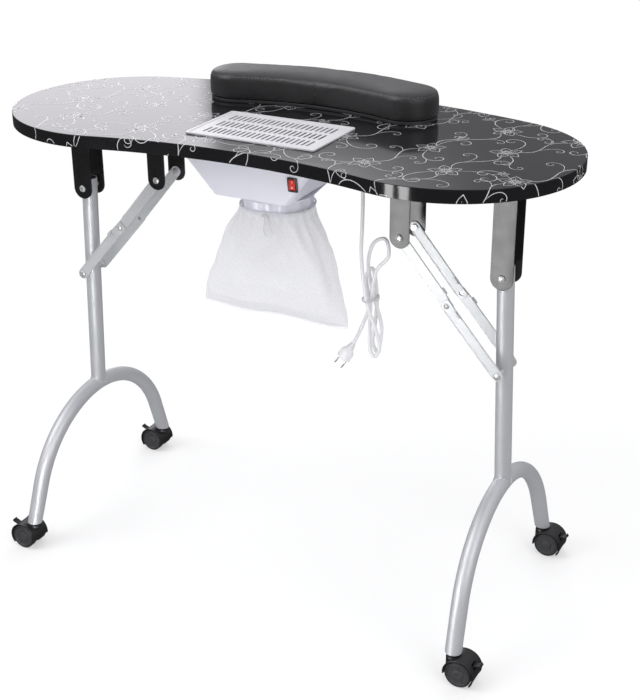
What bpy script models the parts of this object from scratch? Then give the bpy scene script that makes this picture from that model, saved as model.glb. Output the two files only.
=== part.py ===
"""Folding manicure table: kidney-shaped top with a dust extractor, a wrist cushion and two
folding T-legs on casters.

Metres, +Z up. X runs along the top, -Y is the front, where the client sits, z = 0 is the floor.
Everything is drawn with the leg posts at y = 0; the last step moves it all so that the origin
lies under the middle of the table's outline box.

Pieces with a material are the product. Pieces without one are hidden helpers for live Booleans.
"""

import math

import bmesh
import bpy
from mathutils import Matrix, Vector

# ---------------------------------------------------------------- driving dimensions
GAP = 0.0003                 # air between two pieces that touch
MIDDLE_Y = 0.00881           # middle of the front and rear extremes, from the posts' plane

# the top
TOP_Z = 0.722                # height of the table's upper face
TOP_T = 0.019                # board thickness
TOP_OUTLINE = dict(
    half=0.4500,             # half the length
    end_r=0.183,             # radius of each rounded end
    end_y=0.0075,            # Y of the end circles' centres
    back_y=0.2265,           # back edge at the middle
    front_y=-0.141,          # front edge at the middle, where it curves in
)
BAND_T = 0.0012              # edge band thickness
UNDER_Z = TOP_Z - TOP_T
MOUNT_Z = UNDER_Z - GAP      # upper face of whatever is fixed under the board

# grille and the opening under it
GRILLE_X, GRILLE_Y0, GRILLE_Y1 = 0.1048, -0.0952, 0.0355
GRILLE_T = 0.0022
GRILLE_LAP = 0.0060          # how far the grille overlaps the board
SLOT_COLUMNS, SLOT_ROWS = 22, 3
SLOT_W, SLOT_L, SLOT_PITCH, ROW_PITCH = 0.0034, 0.0265, 0.0080, 0.0355
SKIRT_DEPTH, SKIRT_WALL = 0.0100, 0.002
SKIRT_GAP = 0.0006           # skirt to the opening's edge
SKIRT_LAP = 0.0005           # how far the skirt reaches into the grille
OPENING_X = GRILLE_X - GRILLE_LAP
OPENING_Y0, OPENING_Y1 = GRILLE_Y0 + GRILLE_LAP, GRILLE_Y1 - GRILLE_LAP

# fan pan under the board
PAN_TOP = (0.112, -0.1035, 0.0450)      # half X, front Y, back Y
PAN_LOW = (0.061, -0.0935, 0.0400)
PAN_LOW_Z = 0.6370
PAN_WALL = 0.0022
FLANGE_W, FLANGE_T = 0.006, 0.002
PAN_WALL_TOP_Z = MOUNT_Z - FLANGE_T
OUTLET_X, OUTLET_Y = 0.0115, -0.0330    # axis of the round outlet and of the fan
OUTLET = (OUTLET_X, OUTLET_Y)
OUTLET_R = 0.0520
OUTLET_Z = 0.6110            # lower rim
OUTLET_NECK_Z = PAN_LOW_Z - 0.0060      # where the outlet becomes a plain cylinder

# legs
PIVOT_X = 0.3570             # leg pivots, either side of the middle
PIVOT_Z_LEFT = 0.5800        # the left leg folds first, close to the board
PIVOT_STEP = 0.0258          # the right leg folds under it
SPLAY = math.radians(2.3)    # the legs stand slightly apart
TUBE_R, TUBE_WALL = 0.0125, 0.0015
POST_OVER = 0.0150           # post above its pivot
ARCH_TOP_Z = 0.2246          # centre line of the foot at the post
ARCH_R, ARCH_SWEEP, ARCH_STEPS = 0.1780, math.radians(70), 8
FOOT_END_Z = 0.0455          # underside of the foot's tube ends
STEM_R, STEM_RISE = 0.0050, 0.0115      # caster stem, and how far it enters the foot
SOCKET_R, SOCKET_RISE = 0.00556, 0.0125

# braces and brackets
BRACE_DROP = 0.1440          # leg pivot to the brace's lower bolt, along the post
BRACE_X = 0.2055             # the brace's upper bolt
BRACE_RISE = 0.0385          # the brace's upper bolt above the leg pivot
LINK_SHARE = 0.512           # lower link's share of the brace
OVER_CENTRE = 0.0012         # how far the middle rivet stands past the straight line
LINK_W, LINK_T = 0.0165, 0.0020
LINK_CORNER = 0.004          # chamfer at a link's square end
LEG_BRACKET_W, BRACE_BRACKET_W = 0.0340, 0.0310
LEG_PLATE_Y = 0.0170         # middle of the leg bracket's plates
BRACE_PLATE_Y = 0.0279       # middle of the brace bracket's plates and of the lower links
UPPER_LINK_Y = BRACE_PLATE_Y - LINK_T - GAP
PLATE_T = 0.0020
BOLT_R = 0.0030
BORE_R = BOLT_R + 0.00017
BOLT_SIDES = 12
# bolt heads: whole height, radius of the flat crown, height of the rim, radius of the rim
LEG_HEAD = dict(height=0.0030, crown_r=0.0040, rim=0.0012, rim_r=0.0055)
BRACE_HEAD = dict(height=0.0028, crown_r=0.0036, rim=0.0010, rim_r=0.0052)

# casters
WHEEL_R, WHEEL_Y0, WHEEL_Y1 = 0.0205, 0.0052, 0.0190
WHEEL_SIDES = 16
HUB_Z = WHEEL_R * math.cos(math.pi / WHEEL_SIDES)   # the tread stands on one of its flats
CASTER_TRAIL = 0.0145
HOOD_R0, HOOD_R1 = 0.0213, 0.0232
HOOD_START, HOOD_END = math.radians(-38), math.radians(188)
TAB_R, TAB_ANGLE = 0.0222, math.radians(33)         # the brake tab's pin, seen from the hub
TAB_TILT = math.radians(22)

# ---------------------------------------------------------------- scene set-up
for old in list(bpy.data.objects):
    bpy.data.objects.remove(old, do_unlink=True)

PARTS = bpy.data.collections.new("manicure_table")
CUTTERS = bpy.data.collections.new("cutters")
for collection in (PARTS, CUTTERS):
    bpy.context.scene.collection.children.link(collection)


def material(name, rgb, roughness, metallic=0.0):
    made = bpy.data.materials.new(name)
    made.use_nodes = True
    shader = made.node_tree.nodes["Principled BSDF"]
    shader.inputs["Base Color"].default_value = (*rgb, 1.0)
    shader.inputs["Roughness"].default_value = roughness
    shader.inputs["Metallic"].default_value = metallic
    made.diffuse_color = (*rgb, 1.0)
    return made


LAMINATE = material("printed_laminate", rgb=(0.012, 0.012, 0.014), roughness=0.12)
BAND = material("gloss_edge_band", rgb=(0.010, 0.010, 0.011), roughness=0.15)
BLACK_PAINT = material(
    "black_painted_steel", rgb=(0.015, 0.015, 0.016), roughness=0.22, metallic=0.3)
SILVER_PAINT = material(
    "silver_painted_tube", rgb=(0.46, 0.47, 0.49), roughness=0.38, metallic=0.6)
ZINC = material("zinc_plated_strip", rgb=(0.62, 0.63, 0.64), roughness=0.32, metallic=0.8)
SCREW_STEEL = material(
    "bright_screw_steel", rgb=(0.70, 0.70, 0.71), roughness=0.22, metallic=1.0)
WHITE_PLASTIC = material("white_plastic", rgb=(0.82, 0.82, 0.86), roughness=0.35)
DARK_PLASTIC = material("dark_fan_plastic", rgb=(0.02, 0.02, 0.022), roughness=0.45)
CASTER_PLASTIC = material("black_caster_plastic", rgb=(0.022, 0.022, 0.024), roughness=0.42)
SWITCH_BLACK = material("switch_black", rgb=(0.012, 0.012, 0.012), roughness=0.30)
SWITCH_RED = material("switch_red", rgb=(0.62, 0.02, 0.015), roughness=0.22)
CORD_WHITE = material("white_cord", rgb=(0.86, 0.86, 0.87), roughness=0.40)
BAG_CLOTH = material("white_filter_cloth", rgb=(0.84, 0.84, 0.85), roughness=0.85)
LEATHER = material("black_leatherette", rgb=(0.018, 0.018, 0.019), roughness=0.42)

# ---------------------------------------------------------------- frames
XZ = Matrix.Rotation(math.pi / 2, 4, "X")        # a flat plate stood up, its XY drawn as XZ
TO_FRONT = XZ                                    # a turned shape laid along Y, its top at -Y
TO_BACK = Matrix.Rotation(-math.pi / 2, 4, "X")  # the same, its top at +Y


def at(x, y, z):
    return Matrix.Translation((x, y, z))


def upright(x, y, z):
    """The frame of a flat plate stood up in the XZ plane; its local Z points to -Y."""
    return at(x, y, z) @ XZ


# ---------------------------------------------------------------- making objects
def rounded(mesh, angle=32):
    """Smooth shading that keeps the corners sharp."""
    for face in mesh.polygons:
        face.use_smooth = True
    mesh.set_sharp_from_angle(angle=math.radians(angle))


def link_object(name, data, look):
    """A new object among the parts, or among the cutters if it has no material."""
    made = bpy.data.objects.new(name, data)
    (PARTS if look else CUTTERS).objects.link(made)
    return made


def wrap(name, mesh, look=None, smooth=True):
    made = link_object(name, mesh, look)
    if look:
        mesh.materials.clear()
        mesh.materials.append(look)
    else:
        made.hide_render = True
        made.display_type = "WIRE"
    if smooth:
        rounded(mesh)
    return made


def from_bm(name, bm, look=None, smooth=True):
    bmesh.ops.remove_doubles(bm, verts=bm.verts, dist=1e-6)
    mesh = bpy.data.meshes.new(name)
    bm.to_mesh(mesh)
    bm.free()
    return wrap(name, mesh, look, smooth)


def settle(made, look=None):
    """Turn an object's live modifiers and curves into one plain mesh that keeps its place."""
    bpy.context.view_layer.update()
    graph = bpy.context.evaluated_depsgraph_get()
    mesh = bpy.data.meshes.new_from_object(made.evaluated_get(graph))
    mesh.name = made.name
    bm = bmesh.new()
    bm.from_mesh(mesh)
    bmesh.ops.remove_doubles(bm, verts=bm.verts, dist=2e-6)
    bm.to_mesh(mesh)
    bm.free()
    name, world = made.name, made.matrix_world.copy()
    kept = look or (made.data.materials[0] if len(made.data.materials) else None)
    bpy.data.objects.remove(made, do_unlink=True)
    fresh = wrap(name, mesh, kept)
    fresh.matrix_world = world
    return fresh


def rod(name, radius, start, end, sides=16, look=None):
    """A round bar between two points."""
    start, end = Vector(start), Vector(end)
    bm = bmesh.new()
    bmesh.ops.create_cone(bm, cap_ends=True, segments=sides, radius1=radius, radius2=radius,
                          depth=(end - start).length)
    turn = Vector((0, 0, 1)).rotation_difference(end - start).to_matrix().to_4x4()
    bmesh.ops.transform(bm, matrix=Matrix.Translation((start + end) / 2) @ turn, verts=bm.verts)
    return from_bm(name, bm, look)


def block(name, low, high, look=None, bevel=0.0, frame=None):
    """A box between two corners of a frame, its edges rounded by bevel."""
    low, high = Vector(low), Vector(high)
    size = high - low
    bm = bmesh.new()
    bmesh.ops.create_cube(bm, size=1.0)
    box = Matrix.Translation((low + high) / 2) @ Matrix.Diagonal((*size, 1))
    bmesh.ops.transform(bm, matrix=box, verts=bm.verts)
    if bevel:
        bmesh.ops.bevel(bm, geom=list(bm.edges), offset=bevel, segments=2, profile=0.5,
                        affect="EDGES", clamp_overlap=True)
    if frame is not None:
        bmesh.ops.transform(bm, matrix=frame, verts=bm.verts)
    return from_bm(name, bm, look)


def sided_block(name, low, high, frame, sign):
    """A helper block in a frame whose X is mirrored when sign is -1."""
    made = block(name, low, high, frame=frame @ Matrix.Diagonal((sign, 1, 1, 1)))
    if sign < 0:
        made.data.flip_normals()
    return made


def turned(name, profile, steps, look, world, closed=False):
    """A turned shape about its frame's Z axis; profile is (radius, height)."""
    mesh = bpy.data.meshes.new(name)
    edges = [(i, i + 1) for i in range(len(profile) - 1)]
    if closed:
        edges.append((len(profile) - 1, 0))
    mesh.from_pydata([(radius, 0, height) for radius, height in profile], edges, [])
    made = wrap(name, mesh, look, smooth=False)
    screw = made.modifiers.new("turn", "SCREW")
    screw.axis = "Z"
    screw.steps = screw.render_steps = steps
    screw.use_merge_vertices = True
    screw.merge_threshold = 0.00001
    screw.use_smooth_shade = False
    made.matrix_world = world
    return settle(made)


def curve_object(name, dimensions, loops, cyclic, look):
    curve = bpy.data.curves.new(name, "CURVE")
    curve.dimensions = dimensions
    for loop in loops:
        spline = curve.splines.new("POLY")
        spline.points.add(len(loop) - 1)
        for point, place in zip(spline.points, loop):
            point.co = (*place, 1)
        spline.use_cyclic_u = cyclic
    return link_object(name, curve, look)


def flat(name, loops, thickness, look=None, world=None):
    """A plate in local XY, centred on z = 0: the first loop is the outline, the rest are holes."""
    loops = [[(x, y, 0) for x, y in loop] for loop in loops]
    made = curve_object(name, "2D", loops, True, look)
    made.data.fill_mode = "BOTH"
    made.data.extrude = thickness / 2
    made = settle(made, look)
    made.matrix_world = world
    return made


def pipe(name, points, radius, resolution, look=None):
    """A round bar along a path, with closed ends."""
    made = curve_object(name, "3D", [points], False, look)
    made.data.bevel_depth = radius
    made.data.bevel_resolution = resolution
    made.data.use_fill_caps = True
    return settle(made, look)


def loft(name, rings_out, look, rings_in=None, close_low=False):
    """Skin between rings of equal point count, listed top to bottom. rings_in makes it a shell
    open at the top, and at the bottom too unless close_low."""
    bm = bmesh.new()
    count = len(rings_out[0])

    def skin(rings, flip):
        made = [[bm.verts.new(point) for point in ring_points] for ring_points in rings]
        for upper, lower in zip(made, made[1:]):
            for i in range(count):
                j = (i + 1) % count
                quad = [upper[i], lower[i], lower[j], upper[j]]
                bm.faces.new(quad[::-1] if flip else quad)
        return made

    outer = skin(rings_out, False)
    if rings_in is None:
        bm.faces.new(outer[0])
        bm.faces.new(outer[-1][::-1])
    else:
        inner = skin(rings_in, True)
        for i in range(count):
            j = (i + 1) % count
            bm.faces.new([outer[0][i], outer[0][j], inner[0][j], inner[0][i]])
            if not close_low:
                bm.faces.new([outer[-1][j], outer[-1][i], inner[-1][i], inner[-1][j]])
        if close_low:
            bm.faces.new(outer[-1][::-1])
            bm.faces.new(inner[-1])
    bmesh.ops.triangulate(bm, faces=[face for face in bm.faces if len(face.verts) > 4])
    return from_bm(name, bm, look)


def boolean(made, tools, operation, solver):
    """Live Booleans of made with each tool."""
    for tool in tools:
        change = made.modifiers.new(tool.name, "BOOLEAN")
        change.operation = operation
        change.solver = solver
        change.object = tool


def cut(made, *tools, solver="EXACT"):
    boolean(made, tools, "DIFFERENCE", solver)


def join(made, *tools, solver="EXACT"):
    boolean(made, tools, "UNION", solver)


def hang(made, parent, world=None):
    """Parent an object, with its place in the world kept or set."""
    bpy.context.view_layer.update()
    world = made.matrix_world.copy() if world is None else world
    made.parent = parent
    made.matrix_parent_inverse = Matrix.Identity(4)
    made.matrix_local = parent.matrix_world.inverted() @ world
    bpy.context.view_layer.update()


def axis_empty(name, location, turn_y=0.0, parent=None):
    """An empty that marks the axis a moving piece turns about."""
    made = bpy.data.objects.new(name, None)
    PARTS.objects.link(made)
    made.empty_display_size = 0.02
    world = Matrix.Translation(location) @ Matrix.Rotation(turn_y, 4, "Y")
    if parent is not None:
        hang(made, parent, world)
    else:
        made.matrix_world = world
    bpy.context.view_layer.update()
    return made


# ---------------------------------------------------------------- outlines
def ring(radius, sides, centre_x=0.0):
    turns = [2 * math.pi * i / sides for i in range(sides)]
    return [(centre_x + radius * math.cos(turn), radius * math.sin(turn)) for turn in turns]


def arc(centre_x, centre_y, radius, start, end, steps):
    turns = [start + (end - start) * i / steps for i in range(steps + 1)]
    return [(centre_x + radius * math.cos(turn), centre_y + radius * math.sin(turn))
            for turn in turns]


def corner_rect(x0, x1, y0, y1, radius, steps):
    """A rectangle with rounded corners, counter-clockwise."""
    quarter = math.pi / 2
    centres = [(x1 - radius, y1 - radius), (x0 + radius, y1 - radius),
               (x0 + radius, y0 + radius), (x1 - radius, y0 + radius)]
    points = []
    for i, (x, y) in enumerate(centres):
        points += arc(x, y, radius, i * quarter, (i + 1) * quarter, steps)
    return points


def kidney(half, end_r, end_y, back_y, front_y, inset=0.0,
           end_steps=16, back_steps=12, front_steps=10):
    """A kidney outline: two end arcs, a back arc that bulges out and a front arc that curves in,
    all tangent."""
    end_x = half - end_r

    def centre_on_middle(reach):
        """Y of the centre, on x = 0, of an arc tangent to both end circles."""
        return (reach * reach - end_x ** 2 - end_y ** 2) / (2 * (reach - end_y))

    back_centre = centre_on_middle(back_y - end_r)      # holds both end circles inside it
    back_r = back_y - back_centre
    front_centre = centre_on_middle(front_y + end_r)    # stays outside both end circles
    front_r = front_y - front_centre
    back_turn = math.atan2(end_y - back_centre, end_x)
    front_turn = math.atan2(end_y - front_centre, end_x)
    right = arc(end_x, end_y, end_r - inset, front_turn - math.pi, back_turn, end_steps)
    back = arc(0, back_centre, back_r - inset, back_turn, math.pi - back_turn, back_steps)
    left = [(-x, y) for x, y in reversed(right)]
    front = arc(0, front_centre, front_r + inset, math.pi - front_turn, front_turn, front_steps)
    return right + back[1:-1] + left + front[1:-1]


def opening_rect(inset, radius, steps):
    """The board's opening, drawn in by inset."""
    return corner_rect(-OPENING_X + inset, OPENING_X - inset,
                       OPENING_Y0 + inset, OPENING_Y1 - inset, radius, steps)


# ---------------------------------------------------------------- the top
def build_top():
    middle = at(0, 0, TOP_Z - TOP_T / 2)
    board_edge = kidney(**TOP_OUTLINE, inset=BAND_T + GAP)
    flat("tabletop", [board_edge, opening_rect(0.0, 0.004, 3)], TOP_T, LAMINATE, middle)
    band_loops = [kidney(**TOP_OUTLINE), kidney(**TOP_OUTLINE, inset=BAND_T)]
    flat("edge_band", band_loops, TOP_T, BAND, middle)


def build_grille():
    """Slotted plate on the board, with a skirt that drops into the opening."""
    middle_y = (GRILLE_Y0 + GRILLE_Y1) / 2
    slots = []
    for row in range(SLOT_ROWS):
        for column in range(SLOT_COLUMNS):
            x = (column - (SLOT_COLUMNS - 1) / 2) * SLOT_PITCH
            y = middle_y + (row - (SLOT_ROWS - 1) / 2) * ROW_PITCH
            x0, x1 = x - SLOT_W / 2, x + SLOT_W / 2
            y0, y1 = y - SLOT_L / 2, y + SLOT_L / 2
            slots.append([(x0, y0), (x1, y0), (x1, y1), (x0, y1)])
    edge = corner_rect(-GRILLE_X, GRILLE_X, GRILLE_Y0, GRILLE_Y1, 0.004, 3)
    grille = flat("grille", [edge] + slots, GRILLE_T, WHITE_PLASTIC,
                  at(0, 0, TOP_Z + GAP + GRILLE_T / 2))
    skirt_loops = [opening_rect(SKIRT_GAP, 0.0036, 2),
                   opening_rect(SKIRT_GAP + SKIRT_WALL, 0.0020, 2)]
    skirt = flat("grille_skirt", skirt_loops, SKIRT_DEPTH,
                 world=at(0, 0, TOP_Z + GAP + SKIRT_LAP - SKIRT_DEPTH / 2))
    join(grille, skirt, solver="MANIFOLD")


# ---------------------------------------------------------------- fan pan
RING_QUARTER = 8             # points in each quarter of a pan or outlet ring
CORNER_STEPS = 4


def pan_ring(half_x, y0, y1, radius, z):
    """A rounded rectangle sampled evenly by corner and side, starting at the +X side."""
    x0, x1 = -half_x, half_x
    quarter = math.pi / 2
    side_steps = RING_QUARTER - CORNER_STEPS
    centres = [(x1 - radius, y1 - radius), (x0 + radius, y1 - radius),
               (x0 + radius, y0 + radius), (x1 - radius, y0 + radius)]
    points = []
    for i, (centre_x, centre_y) in enumerate(centres):
        corner = [(centre_x + radius * math.cos(i * quarter + quarter * j / CORNER_STEPS),
                   centre_y + radius * math.sin(i * quarter + quarter * j / CORNER_STEPS))
                  for j in range(CORNER_STEPS + 1)]
        start = corner[-1]
        next_x, next_y = centres[(i + 1) % 4]
        end = (next_x + radius * math.cos((i + 1) * quarter),
               next_y + radius * math.sin((i + 1) * quarter))
        side = [(start[0] + (end[0] - start[0]) * j / side_steps,
                 start[1] + (end[1] - start[1]) * j / side_steps)
                for j in range(1, side_steps)]
        points += corner + side
    return [(x, y, z) for x, y in points]


def round_ring(radius, z):
    """A circle about the outlet's axis whose points pair up with pan_ring's."""
    turns = [math.pi / 2 * (quarter + i / RING_QUARTER)
             for quarter in range(4) for i in range(RING_QUARTER)]
    return [(OUTLET_X + radius * math.cos(turn), OUTLET_Y + radius * math.sin(turn), z)
            for turn in turns]


def grown(sizes, amount):
    """Half X, front Y and back Y of a pan rectangle, moved outwards by amount."""
    half_x, front_y, back_y = sizes
    return half_x + amount, front_y - amount, back_y + amount


CORD_R = 0.0028
CORD_EXIT = (0.1010, -0.0050, 0.6890)    # where the cord leaves the pan's right wall
SWITCH_X, SWITCH_Z = 0.0740, 0.6725      # near the right end of the pan's front wall
SWITCH_W, SWITCH_H = 0.0150, 0.0212


def switch_frame():
    """The switch's frame on the leaning front wall: X right, Y into the pan, Z up the wall."""
    depth = PAN_WALL_TOP_Z - PAN_LOW_Z
    share = (PAN_WALL_TOP_Z - SWITCH_Z) / depth
    y = PAN_TOP[1] + (PAN_LOW[1] - PAN_TOP[1]) * share
    wall_lean = math.atan2(PAN_LOW[1] - PAN_TOP[1], depth)
    return at(SWITCH_X, y, SWITCH_Z) @ Matrix.Rotation(wall_lean, 4, "X")


SWITCH_FRAME = switch_frame()


def switch_block(name, half_x, y0, y1, half_z, look=None, bevel=0.0):
    return block(name, (-half_x, y0, -half_z), (half_x, y1, half_z), look, bevel, SWITCH_FRAME)


def build_fan_housing():
    """Flanged pan that narrows to the round outlet, with holes for the switch and the cord."""
    flange = grown(PAN_TOP, FLANGE_W)
    rings_out = [pan_ring(*flange, 0.010, MOUNT_Z),
                 pan_ring(*flange, 0.010, PAN_WALL_TOP_Z),
                 pan_ring(*PAN_TOP, 0.006, PAN_WALL_TOP_Z),
                 pan_ring(*PAN_LOW, 0.006, PAN_LOW_Z),
                 round_ring(OUTLET_R + 0.0045, PAN_LOW_Z - 0.0020),
                 round_ring(OUTLET_R, OUTLET_NECK_Z),
                 round_ring(OUTLET_R, OUTLET_Z)]
    inner_top, inner_low = grown(PAN_TOP, -PAN_WALL), grown(PAN_LOW, -PAN_WALL)
    outlet_in = OUTLET_R - PAN_WALL
    rings_in = [pan_ring(*inner_top, 0.004, MOUNT_Z),
                pan_ring(*inner_top, 0.004, MOUNT_Z - 0.0022),
                pan_ring(*inner_low, 0.004, PAN_LOW_Z + PAN_WALL),
                round_ring(outlet_in, PAN_LOW_Z + PAN_WALL - 0.0006),
                round_ring(outlet_in, OUTLET_NECK_Z),
                round_ring(outlet_in, OUTLET_Z)]
    housing = loft("fan_housing", rings_out, WHITE_PLASTIC, rings_in=rings_in)
    switch_hole = switch_block("switch_hole", 0.0062, -0.010, 0.010, 0.0094)
    through = Vector((0.02, 0, 0))
    cord_hole = rod("cord_hole", CORD_R + 0.0006,
                    Vector(CORD_EXIT) - through, Vector(CORD_EXIT) + through, 12)
    cut(housing, switch_hole, cord_hole)


# ---------------------------------------------------------------- rocker switch
ROCKER_Y = 0.0012            # the rocker's axis, behind the wall's face
ROCKER_HALF_W = 0.0046
ROCKER_TILT = math.radians(7)
# the key's shallow V face and square back, (Y, Z) about its axis
ROCKER_PROFILE = [(-0.0042, 0.0), (-0.0034, 0.0074), (0.0030, 0.0074),
                  (0.0030, -0.0074), (-0.0034, -0.0074)]


def build_switch_bezel():
    bezel = switch_block("switch_bezel", SWITCH_W / 2, -0.0022, -GAP, SWITCH_H / 2,
                         SWITCH_BLACK, bevel=0.0005)
    join(bezel, switch_block("switch_box", 0.0059, -0.0010, 0.0110, 0.0091))
    cut(bezel, switch_block("rocker_well", 0.0050, -0.0060, 0.0070, 0.0082))


def build_switch_rocker():
    """The key, with its upper half pressed in."""
    axis = axis_empty("rocker_axis", SWITCH_FRAME @ Vector((0, ROCKER_Y, 0)))
    cos_tilt, sin_tilt = math.cos(ROCKER_TILT), math.sin(ROCKER_TILT)
    tilted = [(y * cos_tilt + z * sin_tilt, -y * sin_tilt + z * cos_tilt)
              for y, z in ROCKER_PROFILE]
    bm = bmesh.new()
    left = [bm.verts.new((-ROCKER_HALF_W, y + ROCKER_Y, z)) for y, z in tilted]
    right = [bm.verts.new((ROCKER_HALF_W, y + ROCKER_Y, z)) for y, z in tilted]
    bm.faces.new(left)
    bm.faces.new(right[::-1])
    for i in range(len(left)):
        j = (i + 1) % len(left)
        bm.faces.new([left[j], left[i], right[i], right[j]])
    bmesh.ops.recalc_face_normals(bm, faces=bm.faces)
    bmesh.ops.transform(bm, matrix=SWITCH_FRAME, verts=bm.verts)
    hang(from_bm("switch_rocker", bm, SWITCH_RED, smooth=False), axis)


# ---------------------------------------------------------------- axial fan in the outlet
FAN_R = OUTLET_R - PAN_WALL - GAP
FAN_Z0, FAN_Z1 = 0.6140, 0.6330          # lower and upper edges of the fan's ring
FAN_RING_WALL = 0.0020
ARM_REACH, ARM_HALF_W = FAN_R - 0.001, 0.0025
ARM_Z0, ARM_Z1 = 0.6150, 0.6175
BLADES = 7
BLADE_PITCH = math.radians(32)
BLADE_R0, BLADE_R1 = 0.0120, 0.0450
BLADE_HALF_W, BLADE_HALF_T = 0.0085, 0.0006


def fan_rod(name, radius, z0, z1, sides, look=None):
    return rod(name, radius, (*OUTLET, z0), (*OUTLET, z1), sides, look)


def fan_arm(name, half_x, half_y):
    return block(name, (OUTLET_X - half_x, OUTLET_Y - half_y, ARM_Z0),
                 (OUTLET_X + half_x, OUTLET_Y + half_y, ARM_Z1))


def build_fan_frame():
    """A ring with four arms that hold the motor and its spindle."""
    inner_r = FAN_R - FAN_RING_WALL
    profile = [(FAN_R, FAN_Z1), (FAN_R, FAN_Z0), (inner_r, FAN_Z0), (inner_r, FAN_Z1)]
    frame = turned("fan_frame", profile, 24, DARK_PLASTIC, at(*OUTLET, 0), closed=True)
    join(frame,
         fan_rod("fan_motor_cup", 0.0170, 0.6145, 0.6215, 20),
         fan_arm("fan_arm_a", ARM_REACH, ARM_HALF_W),
         fan_arm("fan_arm_b", ARM_HALF_W, ARM_REACH),
         fan_rod("fan_spindle", 0.0020, 0.6200, 0.6290, 12))


def build_fan_impeller():
    """The bladed wheel above the motor, bored for the spindle."""
    axis = axis_empty("fan_axis", (*OUTLET, 0.6270))
    impeller = fan_rod("fan_impeller", 0.0165, 0.6222, 0.6340, 20, DARK_PLASTIC)
    for i in range(BLADES):
        frame = (at(*OUTLET, 0.6280) @ Matrix.Rotation(2 * math.pi * i / BLADES, 4, "Z")
                 @ Matrix.Rotation(BLADE_PITCH, 4, "X"))
        join(impeller, block(f"fan_blade_{i + 1}", (BLADE_R0, -BLADE_HALF_W, -BLADE_HALF_T),
                             (BLADE_R1, BLADE_HALF_W, BLADE_HALF_T), frame=frame))
    cut(impeller, fan_rod("spindle_bore", 0.00206, 0.6210, 0.6296, 12))
    hang(impeller, axis)


# ---------------------------------------------------------------- dust bag and its drawstring
BAG_CLOTH_T = 0.0010
BAG_NECK_R = OUTLET_R + 0.0006 + BAG_CLOTH_T
BAG_SIDES = 24
BAG_FLOOR_T = 0.0015
DRAWSTRING_Z, DRAWSTRING_R = 0.6185, 0.0014
# stations from the neck down: z, half X, half Y, centre X, centre Y, power (1 is an ellipse,
# less is squarer)
BAG_STATIONS = [
    (0.6250, BAG_NECK_R, BAG_NECK_R, OUTLET_X, OUTLET_Y, 1.0),
    (0.6120, BAG_NECK_R, BAG_NECK_R, OUTLET_X, OUTLET_Y, 1.0),
    (0.6030, 0.0570, 0.0540, 0.0110, -0.0330, 0.98),
    (0.5750, 0.0760, 0.0500, 0.0090, -0.0325, 0.92),
    (0.5350, 0.0960, 0.0450, 0.0060, -0.0320, 0.86),
    (0.4950, 0.1110, 0.0390, 0.0040, -0.0315, 0.80),
    (0.4600, 0.1205, 0.0290, 0.0020, -0.0310, 0.76),
    (0.4390, 0.1245, 0.0140, 0.0015, -0.0305, 0.76),
]


def bag_ring(z, half_x, half_y, centre_x, centre_y, power, inset=0.0):
    points = []
    for i in range(BAG_SIDES):
        turn = 2 * math.pi * i / BAG_SIDES
        cosine, sine = math.cos(turn), math.sin(turn)
        x = math.copysign(abs(cosine) ** power, cosine) * (half_x - inset)
        y = math.copysign(abs(sine) ** power, sine) * (half_y - inset)
        points.append((centre_x + x, centre_y + y, z))
    return points


def build_dust_bag():
    outside = [bag_ring(*station) for station in BAG_STATIONS]
    inside = [bag_ring(*station, inset=BAG_CLOTH_T) for station in BAG_STATIONS]
    inside[-1] = [(x, y, z + BAG_FLOOR_T) for x, y, z in inside[-1]]
    loft("dust_bag", outside, BAG_CLOTH, rings_in=inside, close_low=True)


def build_drawstring():
    bpy.ops.mesh.primitive_torus_add(
        major_segments=24, minor_segments=5, major_radius=BAG_NECK_R + 0.0018,
        minor_radius=DRAWSTRING_R, location=(*OUTLET, DRAWSTRING_Z))
    made = bpy.context.active_object
    made.name = made.data.name = "bag_drawstring"
    made.data.materials.append(CORD_WHITE)
    rounded(made.data)
    for owner in list(made.users_collection):
        owner.objects.unlink(made)
    PARTS.objects.link(made)


# ---------------------------------------------------------------- mains cord in a hank, and plug
TIE_X, TIE_Z = 0.1570, 0.4850            # where the hank is tied
HANK_TOP, HANK_LOW = 0.5800, 0.3960
PLUG_FROM, PLUG_TO = (0.1250, -0.0100, 0.4050), (0.1060, -0.0125, 0.3740)
CORD_STEPS = 2               # path steps between two keys
# points the cord runs through, from inside the pan to the plug
CORD_KEYS = [
    (0.0900, CORD_EXIT[1], CORD_EXIT[2]), CORD_EXIT,
    (0.1180, -0.0060, 0.6880), (0.1340, -0.0100, 0.6750), (0.1400, -0.0130, 0.6450),
    (0.1420, -0.0180, 0.6000), (0.1440, -0.0240, 0.5500), (TIE_X - 0.003, -0.0260, TIE_Z),
    (0.1690, -0.0240, 0.4400), (0.1740, -0.0220, 0.4120), (0.1650, -0.0200, HANK_LOW),
    (0.1560, -0.0180, 0.4120), (TIE_X, -0.0170, TIE_Z), (0.1640, -0.0150, 0.5300),
    (0.1820, -0.0130, 0.5560), (0.1760, -0.0110, HANK_TOP), (0.1560, -0.0090, 0.5700),
    (0.1480, -0.0090, 0.5350), (TIE_X + 0.001, -0.0080, TIE_Z), (0.1700, -0.0070, 0.4400),
    (0.1640, -0.0060, 0.3980), (0.1540, -0.0040, 0.4120), (0.1560, -0.0000, 0.4400),
    (TIE_X + 0.001, 0.0010, TIE_Z), (0.1500, 0.0030, 0.5250), (0.1400, 0.0010, 0.5100),
    (TIE_X - 0.0085, -0.0060, TIE_Z - 0.0150), (0.1360, -0.0080, 0.4300), PLUG_FROM,
]
# the plug's (radius, height), from the cord end to its face
PLUG_PROFILE = [(0.0, 0.0), (0.0042, 0.0), (0.0050, -0.0100), (0.0105, -0.0170),
                (0.0115, -0.0300), (0.0, -0.0300)]
PIN_X, PIN_HALF_T, PIN_HALF_W = 0.0064, 0.0008, 0.0032


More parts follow.
